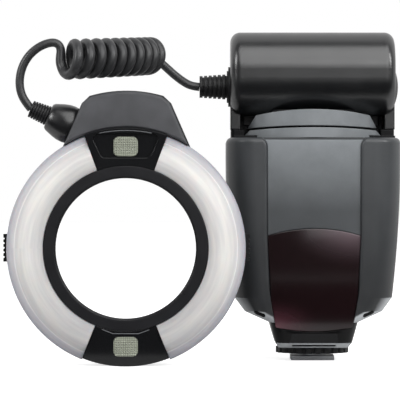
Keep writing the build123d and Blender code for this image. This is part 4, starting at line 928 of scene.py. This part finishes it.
def stitch(shape: Shape, rings: Sequence[Sequence[Vector]]) -> None:
    """Skin a row of rings of points and close both ends.

    Args:
        shape: the shape that gets the skin.
        rings: points of each ring, the same number in each.
    """
    made = [[shape.verts.new(spot) for spot in ring] for ring in rings]
    for first, second in zip(made, made[1:]):
        for index in range(len(first)):
            after = (index + 1) % len(first)
            shape.faces.new((first[index], first[after], second[after], second[index]))
    shape.faces.new(made[0][::-1])
    shape.faces.new(made[-1])


@dataclass(frozen=True)
class Ribbon:
    """A thin strip with a crowned back that lies along a line on a surface."""

    width: float
    rise: float
    end_taper: float = 0.35
    section: tuple[Place, ...] = ((-1.0, -1.0), (-0.6, 0.8), (0.0, 1.0), (0.6, 0.8), (1.0, -1.0))

    def lay(self, shape: Shape, line: Sequence[SkinSpot]) -> None:
        """Add the strip to a shape.

        Args:
            shape: the shape that gets it.
            line: points of the surface and their normals.
        """
        rings = []
        for index, (point, normal) in enumerate(line):
            before, after = line[max(index - 1, 0)][0], line[min(index + 1, len(line) - 1)][0]
            side = (after - before).cross(normal).normalized() * (self.width / 2)
            taper = self.end_taper if index in (0, len(line) - 1) else 1.0
            rings.append([point + side * out * taper + normal * self.rise * up for out, up in self.section])
        stitch(shape, rings)


@dataclass
class CaseTrim:
    """Trim on the control unit: slots under the wings, braces behind the ears, skirt behind the collars."""

    slot_ends: tuple[Place, Place] = ((-0.0255, 0.0213), (-0.0207, 0.0195))
    slot: Ribbon = Ribbon(0.0027, 0.00006)
    brace_sides: Place = (0.0293, 0.0313)
    brace_depths: Place = (0.0065, 0.0140)
    brace_heights: Place = (0.0993, 0.1120)
    skirt_half_width: float = 0.0306
    skirt_depths: Place = (0.0070, 0.0236)
    skirt_heights: Place = (0.09535, 0.1014)
    skirt_round: float = 0.0090
    skirt_ease: float = 0.0005
    samples: int = 9

    def _slots(self) -> None:
        """Slots in the lower rims of both wings, as near-black strips laid on the surface: painted shade, the
        slots are not cut.
        """
        shape = bmesh.new()
        for side in (1, -1):
            first, last = ((PLAN.unit_x + side * x, z) for x, z in self.slot_ends)
            self.slot.lay(shape, SKIN.line("front_shell", along(first, last, self.samples - 1)))
        make_piece("rim_slots", shape, "slot_painted_shade")

    def _braces(self) -> None:
        """Fins that join the ears to the webs."""
        shape = bmesh.new()
        (front, back), (foot, top) = self.brace_depths, self.brace_heights
        for side in (-1, 1):
            left, right = sorted(PLAN.unit_x + side * part for part in self.brace_sides)
            block(shape, (left, PLAN.unit_y + front, foot), (right, PLAN.unit_y + back, top))
        make_piece("ear_braces", shape, "neck_black")

    def _skirt_outline(self) -> list[Place]:
        """Plan of the skirt, square in front and with round corners behind.

        Returns:
            Its corners in order, in the row frame.
        """
        front, back = self.skirt_depths
        outline = [(PLAN.unit_x + side * self.skirt_half_width, PLAN.unit_y + front) for side in (-1, 1)]
        for side, first in ((1, 0), (-1, 90)):
            middle_x = PLAN.unit_x + side * (self.skirt_half_width - self.skirt_round)
            middle_y = PLAN.unit_y + back - self.skirt_round
            for index in range(self.samples):
                turn = math.radians(first + 90 * index / (self.samples - 1))
                out, back_by = self.skirt_round * math.cos(turn), self.skirt_round * math.sin(turn)
                outline.append((middle_x + out, middle_y + back_by))
        return outline

    def _skirt(self) -> None:
        """Low skirt round the collars' rear half, which closes the view behind them."""
        shape = bmesh.new()
        foot, top = self.skirt_heights
        base = shape.faces.new([shape.verts.new((x, y, foot)) for x, y in self._skirt_outline()])
        raised = bmesh.ops.extrude_face_region(shape, geom=[base])
        moved = [part for part in raised["geom"] if isinstance(part, bmesh.types.BMVert)]
        bmesh.ops.translate(shape, vec=(0.0, 0.0, top - foot), verts=moved)
        middle = (foot + top) / 2
        rim = [edge for edge in shape.edges if all(corner.co.z > middle for corner in edge.verts)]
        ease_edges(shape, rim, self.skirt_ease)
        bmesh.ops.recalc_face_normals(shape, faces=shape.faces)
        make_piece("collar_skirt", shape, "neck_black")

    def build(self) -> None:
        """Make all of the trim."""
        self._slots()
        self._braces()
        self._skirt()


@dataclass
class RingTrim:
    """Trim on the ring head: gland, lip over the upper lamp, ledge under the opening, lens prisms; lip and
    ledge are pale grey as painted highlights.
    """

    gland_middle: Place = (-0.0281, 0.0532)
    gland_angle: float = 157.5
    gland_steps: int = 48
    gland_profile: tuple[Place, ...] = (
        (-0.0078, 0.0040), (-0.0074, 0.0068), (-0.0062, 0.0077), (-0.0044, 0.0080), (-0.0020, 0.0078),
        (0.0003, 0.0072), (0.0022, 0.0065), (0.0038, 0.0059), (0.0046, 0.0052), (0.0046, 0.0020),
    )
    lip_left: Place = (-0.0114, 0.0475)
    lip_top: float = 0.0487
    ledge_places: tuple[Place, ...] = (
        (-0.0098, -0.0334), (-0.0052, -0.0352), (0.0054, -0.0352), (0.0105, -0.0333)
    )
    lip: Ribbon = Ribbon(0.00045, 0.00012)
    samples: int = 8
    lens_half: Place = (0.0044, 0.0034)
    lens_inset: float = 0.0436
    lens_pitch: float = 0.0011
    lens_rise: float = 0.00022
    prism_share: float = 0.92
    prism_sink: float = 0.00005

    def _gland(self) -> None:
        """Rounded gland that the cord's relief stands in, turned about the cord's way out."""
        side, height = self.gland_middle
        lowest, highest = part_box("cord_gland")
        origin = Vector((PLAN.ring_x + side, (lowest[1] + highest[1]) / 2, PLAN.ring_z + height))
        angle = math.radians(self.gland_angle)
        turn = Vector((math.cos(angle), 0.0, math.sin(angle))).to_track_quat("Z", "Y")
        ways = [2 * math.pi * step / self.gland_steps for step in range(self.gland_steps)]
        shape = bmesh.new()
        stitch(shape, [
            [origin + turn @ Vector((radius * math.cos(way), radius * math.sin(way), out)) for way in ways]
            for out, radius in self.gland_profile
        ])
        piece = make_piece("gland_bulb", shape, "gland_black")
        for face in piece.data.polygons:
            face.use_smooth = True
        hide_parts("cord_gland")

    def _line_on(self, node: str, places: Sequence[Place]) -> list[SkinSpot]:
        """Points along straight runs between places, laid on a node's front.

        Args:
            node: name of the CAD node.
            places: sideways and upward distances from the ring's axis.

        Returns:
            Points of the surface and their normals.
        """
        spots = [(PLAN.ring_x + x, PLAN.ring_z + z) for x, z in places]
        runs = [along(first, last, self.samples)[:-1] for first, last in zip(spots, spots[1:])]
        return SKIN.line(node, (place for run in runs for place in run))

    def _arc(self) -> list[Place]:
        """Places along the lip's shallow arc.

        Returns:
            Sideways and upward distances from the ring's axis.
        """
        left, low = self.lip_left
        across = [left - 2 * left * index / self.samples for index in range(self.samples + 1)]
        return [(x, self.lip_top - (self.lip_top - low) * (x / left) ** 2) for x in across]

    def _lips(self) -> None:
        """Thin raised lip over the upper lamp and the ledge line under the opening, in pale grey as painted
        highlights along these edges.
        """
        shape = bmesh.new()
        self.lip.lay(shape, self._line_on("top_block", self._arc()))
        self.lip.lay(shape, self._line_on("bottom_block", self.ledge_places))
        make_piece("block_highlight_lips", shape, "lip_highlight_grey")

    def _prisms(self) -> None:
        """Grid of small prisms on the two lamp windows."""
        shape = bmesh.new()
        half_x, half_z = self.lens_half
        (_, _, low), (_, _, high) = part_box("lamp_windows")
        inset = (high - low) * self.lens_inset
        columns, rows = (round(2 * half / self.lens_pitch) for half in self.lens_half)
        for middle in (high - inset, low + inset):
            for column in range(columns):
                for row in range(rows):
                    x = PLAN.ring_x - half_x + column * self.lens_pitch
                    self._prism(shape, x, middle - half_z + row * self.lens_pitch)
        make_piece("lens_prisms", shape, "prism_lens")

    def _prism(self, shape: Shape, x: float, z: float) -> None:
        """Add one four-sided prism on a lamp window's face.

        Args:
            shape: the shape that gets it.
            x: its left side.
            z: its lower side.
        """
        size = self.lens_pitch * self.prism_share
        met = SKIN.meet("lamp_windows", x + size / 2, z + size / 2)
        if not met:
            return
        face = met[0].y + self.prism_sink
        corners = [(x, z), (x + size, z), (x + size, z + size), (x, z + size)]
        base = [shape.verts.new((across, face, up)) for across, up in corners]
        top = shape.verts.new((x + size / 2, face - self.lens_rise, z + size / 2))
        shape.faces.new(base[::-1])
        for index in range(4):
            shape.faces.new((base[index], base[(index + 1) % 4], top))

    def build(self) -> None:
        """Make all of the trim."""
        self._gland()
        self._lips()
        self._prisms()


class Segment(Enum):
    """Bars of a numeral, as sideways and upward places in half heights and whether they stand upright."""

    TOP = (0.0, 2.0, False)
    MIDDLE = (0.0, 1.0, False)
    BOTTOM = (0.0, 0.0, False)
    UPPER_LEFT = (0.0, 1.5, True)
    UPPER_RIGHT = (1.0, 1.5, True)
    LOWER_LEFT = (0.0, 0.5, True)
    LOWER_RIGHT = (1.0, 0.5, True)


NUMERALS: dict[str, tuple[Segment, ...]] = {
    "1": (Segment.UPPER_RIGHT, Segment.LOWER_RIGHT),
    "2": (Segment.TOP, Segment.UPPER_RIGHT, Segment.MIDDLE, Segment.LOWER_LEFT, Segment.BOTTOM),
    "8": tuple(Segment),
}
KEY_BARS: dict[str, int] = {
    "left_button": 1, "right_button": 2, "set_button": 3,
    "mode_button": 2, "lamp_button": 3, "test_button": 1,
}


@dataclass
class RearMarks:
    """Display segments and plain key marks on the unit's rear side."""

    digit_size: float = 0.0042
    digit_pitch: float = 0.0066
    bar: float = 0.0009
    display_lift: float = 0.00006
    digits: str = "128"
    digits_place: Place = (0.0105, 0.0700)
    scale_steps: int = 9
    scale_pitch: float = 0.0030
    scale_height: float = 0.0655
    scale_marks: Place = (0.0016, 0.0009)
    long_mark_every: int = 4
    key_lift: float = 0.00008
    mark: float = 0.0013

    def _bar(self, shape: Shape, centre: Place, size: Place, rear: float) -> None:
        """Add one flat bar on a rear face.

        Args:
            shape: the shape that gets it.
            centre: its place across and up, in the row frame.
            size: its width and height.
            rear: how far back the face lies.
        """
        (x, z), (width, height) = centre, size
        low = (x - width / 2, rear - self.key_lift, z - height / 2)
        high = (x + width / 2, rear + self.key_lift, z + height / 2)
        block(shape, low, high, self.key_lift / 2)

    def _display(self) -> None:
        """Three numerals over a row of scale marks."""
        shape = bmesh.new()
        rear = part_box("display_module")[1][1] + self.display_lift
        long = self.digit_size - self.bar
        for index, digit in enumerate(self.digits):
            left = PLAN.unit_x + self.digits_place[0] - index * self.digit_pitch
            for segment in NUMERALS[digit]:
                across, up, upright = segment.value
                x = left - (self.digit_size if across else 0.0) - (0.0 if upright else self.digit_size / 2)
                centre = (x, self.digits_place[1] + up * self.digit_size)
                self._bar(shape, centre, (self.bar, long) if upright else (long, self.bar), rear)
        for step in range(self.scale_steps):
            x = PLAN.unit_x + (step - (self.scale_steps - 1) / 2) * self.scale_pitch
            height = self.scale_marks[1 if step % self.long_mark_every else 0]
            self._bar(shape, (x, self.scale_height), (self.bar, height), rear)
        make_piece("display_segments", shape, "segment_dark")

    def _key_marks(self) -> None:
        """One plain mark on each key, which rides on that key."""
        for node, count in KEY_BARS.items():
            lowest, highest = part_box(node)
            x, z = (lowest[0] + highest[0]) / 2, (lowest[2] + highest[2]) / 2
            shape = bmesh.new()
            for index in range(count):
                rise = (index - (count - 1) / 2) * 2 * self.bar
                self._bar(shape, (x, z + rise), (2 * self.mark, self.bar / 2), highest[1])
            make_piece(f"{node}_mark", shape, "print_white", node)

    def build(self) -> None:
        """Make the display's and the keys' marks."""
        self._display()
        self._key_marks()


@dataclass
class CurlyCord:
    """The free cord from the ring's gland to the barrel: two leads and the curls between them."""

    diameter: float = 0.0036
    length: float = 0.4852
    turns: int = 10
    first_turn: float = -0.5
    points_per_turn: int = 16
    curl_radii: Place = (0.00650, 0.00622)
    curl_thickness: Place = (1.22, 1.12)
    pitches: Place = (0.0052, 0.0044)
    headings: Place = (24.0, 62.0)
    rise: float = 0.0031
    axis_start: Point = (-0.0572, -0.0352, 0.1271)
    ring_lead: tuple[Point, ...] = (
        (-0.07209, -0.0294, 0.10682), (-0.07440, -0.0294, 0.1096), (-0.0764, -0.0294, 0.1135),
        (-0.0770, -0.0294, 0.1182), (-0.0762, -0.0294, 0.1232), (-0.0739, -0.0294, 0.1280),
        (-0.0702, -0.0294, 0.1318), (-0.0658, -0.0294, 0.1341), (-0.0618, -0.0294, 0.1346),
        (-0.0595, -0.0294, 0.1324),
    )
    unit_lead: tuple[Point, ...] = (
        (-0.0281, 0.0008, 0.1272), (-0.02712, 0.00281, 0.12587), (-0.02667, 0.00694, 0.1242),
        (-0.0209, 0.01043, 0.13016), (-0.01763, 0.01137, 0.12724), (-0.0150, 0.0121, 0.1249),
        (-0.0129, 0.0127, 0.1230), (-0.0090, 0.0135, 0.1200), (-0.00530, 0.0140, 0.1180),
        (-0.00185, 0.0140, 0.1177),
    )

    def _between(self, ends: Place, index: int) -> float:
        """A value that runs evenly from the first curl to the last, at one of their points."""
        return ends[0] + (ends[1] - ends[0]) * index / (self.turns * self.points_per_turn)

    def _axis_step(self, turn: float) -> tuple[Vector, float]:
        """Rate at which the curls' axis runs on, and its heading, at a turn.

        Args:
            turn: how many turns the cord has made.

        Returns:
            The step for a whole turn and the heading in radians.
        """
        share = (turn - self.first_turn) / self.turns
        pitch, degrees = (first + (last - first) * share for first, last in (self.pitches, self.headings))
        heading = math.radians(degrees)
        step = (pitch * math.cos(heading), pitch * math.sin(heading), self.rise / self.turns)
        return Vector(step), heading

    def _curls(self) -> list[Vector]:
        """Points of the curls, in order.

        Returns:
            The points in the row frame.
        """
        axis = Vector(self.axis_start)
        points = []
        for index in range(self.turns * self.points_per_turn + 1):
            turn = self.first_turn + index / self.points_per_turn
            _, heading = self._axis_step(turn)
            phase = 2 * math.pi * turn
            near = Vector((math.sin(heading), -math.cos(heading), 0.0))
            radius = self._between(self.curl_radii, index)
            points.append(axis + (near * math.cos(phase) + Vector((0, 0, math.sin(phase)))) * radius)
            axis = axis + self._axis_step(turn + 0.5 / self.points_per_turn)[0] / self.points_per_turn
        return points

    def build(self) -> None:
        curls = self._curls()
        route = [*self.ring_lead, *curls, *self.unit_lead]
        curve = bpy.data.curves.new("curly_cord", "CURVE")
        curve.dimensions = "3D"
        curve.resolution_u = 6
        spline = curve.splines.new("NURBS")
        spline.points.add(len(route) - 1)
        for control, point in zip(spline.points, route):
            control.co = (*point, 1.0)
        for index in range(len(curls)):
            spline.points[len(self.ring_lead) + index].radius = self._between(self.curl_thickness, index)
        spline.order_u = 3
        spline.use_endpoint_u = True
        curve.bevel_depth = self.diameter / 2
        curve.bevel_resolution = 5
        curve.use_fill_caps = True
        curve.materials.append(SHELF.take("cord_sheath"))
        cord = set_out("curly_cord", curve)
        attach(cord, ROOT_BODY)
        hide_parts("cord_lead_ring", "cord_coil", "cord_lead_unit")
        log.info("made curly_cord with %d points", len(route))


@dataclass(frozen=True)
class SoftBox:
    """One lamp: where it stands, its width and height, and its output in watts."""

    name: str
    place: Point
    size: Place
    power: float


@dataclass
class Studio:
    """Camera, lamps, floor and background."""

    camera_distance: float = 1.2
    camera_x: float = -0.00165
    camera_z: float = 0.0688
    half_view: float = 86.52 / 1200
    sensor: float = 36.0
    floor_size: float = 14.0
    fill_level: float = 0.34
    mirror_level: float = 0.07
    floor_glow: float = 0.76
    flag_size: Place = (2.4, 1.0)
    flag_place: Point = (0.0, -0.575, 0.003)
    middle: Point = (0.0, 0.0, 0.07)
    lamps: tuple[SoftBox, ...] = (
        SoftBox("key_above", (0.30, -0.90, 1.00), (1.3, 1.45), 15.6),
        SoftBox("card_right", (0.42, -1.2, 0.42), (0.8, 0.3), 1.8),
        SoftBox("strip_left", (-1.0, -0.62, 0.62), (0.16, 0.62), 6.0),
        SoftBox("strip_right", (1.05, -0.62, 0.66), (0.16, 0.62), 5.6),
    )

    def _camera(self) -> None:
        """Place the camera where the photographer stood."""
        data = bpy.data.cameras.new("camera")
        data.sensor_width = self.sensor
        data.lens = self.sensor / 2 / self.half_view
        data.clip_start, data.clip_end = 0.05, 60.0
        camera = set_out("camera", data)
        camera.location = (self.camera_x, PLAN.unit_y - self.camera_distance, self.camera_z)
        camera.rotation_euler = (math.radians(90), 0.0, 0.0)
        bpy.context.scene.camera = camera

    def _lamp(self, box: SoftBox) -> None:
        """Place one soft box that faces the object's middle.

        Args:
            box: what the lamp is like and where it stands.
        """
        data = bpy.data.lights.new(box.name, "AREA")
        data.shape = "RECTANGLE"
        data.size, data.size_y = box.size
        data.energy = box.power
        lamp = set_out(box.name, data)
        lamp.location = box.place
        lamp.rotation_euler = (Vector(self.middle) - Vector(box.place)).to_track_quat("-Z", "Y").to_euler()

    @staticmethod
    def _card(name: str, size: Place, place: Point, material: Material) -> bpy.types.Object:
        """Lay a level card that belongs to the studio.

        Args:
            name: the card's name.
            size: its sides along X and Y.
            place: its middle.
            material: its material.

        Returns:
            The card.
        """
        shape = bmesh.new()
        bmesh.ops.create_grid(shape, x_segments=2, y_segments=2, size=0.5)
        bmesh.ops.scale(shape, vec=(*size, 1.0), verts=shape.verts)
        bmesh.ops.translate(shape, vec=place, verts=shape.verts)
        card = set_out(name, mesh_of(name, shape, material))
        return card

    def _floor(self) -> None:
        """Lay a pale floor that shows white to the camera and keeps the object's shadow."""
        material, bench, shader = open_material("floor_white")
        tone = bench.blend(bench.noise(3.0, 2.0), (0.80, 0.80, 0.80), (0.82, 0.82, 0.82))
        bench.feed(shader, Base_Color=tone, Roughness=0.6, Specular_IOR_Level=0.1)
        path = bench.add("LightPath").outputs
        glow = bench.feed(bench.add("Emission"), Strength=self.floor_glow)
        seen = bench.maths("MAXIMUM", path["Is Camera Ray"], path["Is Transmission Ray"])
        added = bench.feed(bench.add("AddShader"), shader.outputs[0], glow.outputs[0])
        mix = bench.feed(bench.add("MixShader"), seen, shader.outputs[0], added.outputs[0])
        result = next(node for node in material.node_tree.nodes if node.type == "OUTPUT_MATERIAL")
        bench.feed(result, Surface=mix.outputs[0])
        self._card("floor", (self.floor_size, self.floor_size), (0.0, 0.0, 0.0), material)

    def _flag(self) -> None:
        """Lay a dark card before the object that only glossy surfaces see, for their depth."""
        material, bench, shader = open_material("flag_felt")
        felt = bench.blend(bench.noise(400.0, 3.0), (0.01, 0.01, 0.01), (0.02, 0.02, 0.02))
        bench.feed(shader, Base_Color=felt, Roughness=1.0, Specular_IOR_Level=0.0)
        flag = self._card("flag", self.flag_size, self.flag_place, material)
        flag.visible_camera = flag.visible_diffuse = flag.visible_transmission = flag.visible_shadow = False

    def _world(self) -> None:
        """White behind the object for the eye and for mirrors, and a plain fill on the object."""
        world = bpy.data.worlds.new("studio")
        world.use_nodes = True
        world.node_tree.nodes.clear()
        bench = NodeBench(world.node_tree)
        path = bench.add("LightPath").outputs
        depth = bench.split(bench.add("TexCoord").outputs["Generated"])["Y"]
        behind = bench.maths("MULTIPLY", bench.maths("ADD", depth, 0.05), 6.0, clamp=True)
        mirrored = bench.maths("MULTIPLY", behind, path["Is Glossy Ray"])
        looked = bench.maths("MAXIMUM", path["Is Camera Ray"], path["Is Transmission Ray"])
        plain = bench.blend(path["Is Glossy Ray"], (self.fill_level,) * 3, (self.mirror_level,) * 3)
        colour = bench.blend(bench.maths("MAXIMUM", looked, mirrored), plain, (1.0, 1.0, 1.0))
        sky = bench.feed(bench.add("Background"), Color=colour)
        bench.feed(bench.add("OutputWorld"), Surface=sky.outputs[0])
        bpy.context.scene.world = world

    def build(self) -> None:
        """Set the whole studio up."""
        bpy.context.scene.view_settings.view_transform = "Standard"
        self._camera()
        self._floor()
        self._flag()
        self._world()
        for box in self.lamps:
            self._lamp(box)


def main() -> None:
    """Build the studio, dress the solids and add the pieces."""
    logging.basicConfig(level=logging.INFO, format="%(message)s")
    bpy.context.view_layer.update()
    Studio().build()
    for finish, nodes in DRESSING.items():
        dress(finish, nodes.split())
    CurlyCord().build()
    CaseTrim().build()
    RingTrim().build()
    RearMarks().build()


if __name__ == "__main__":
    main()
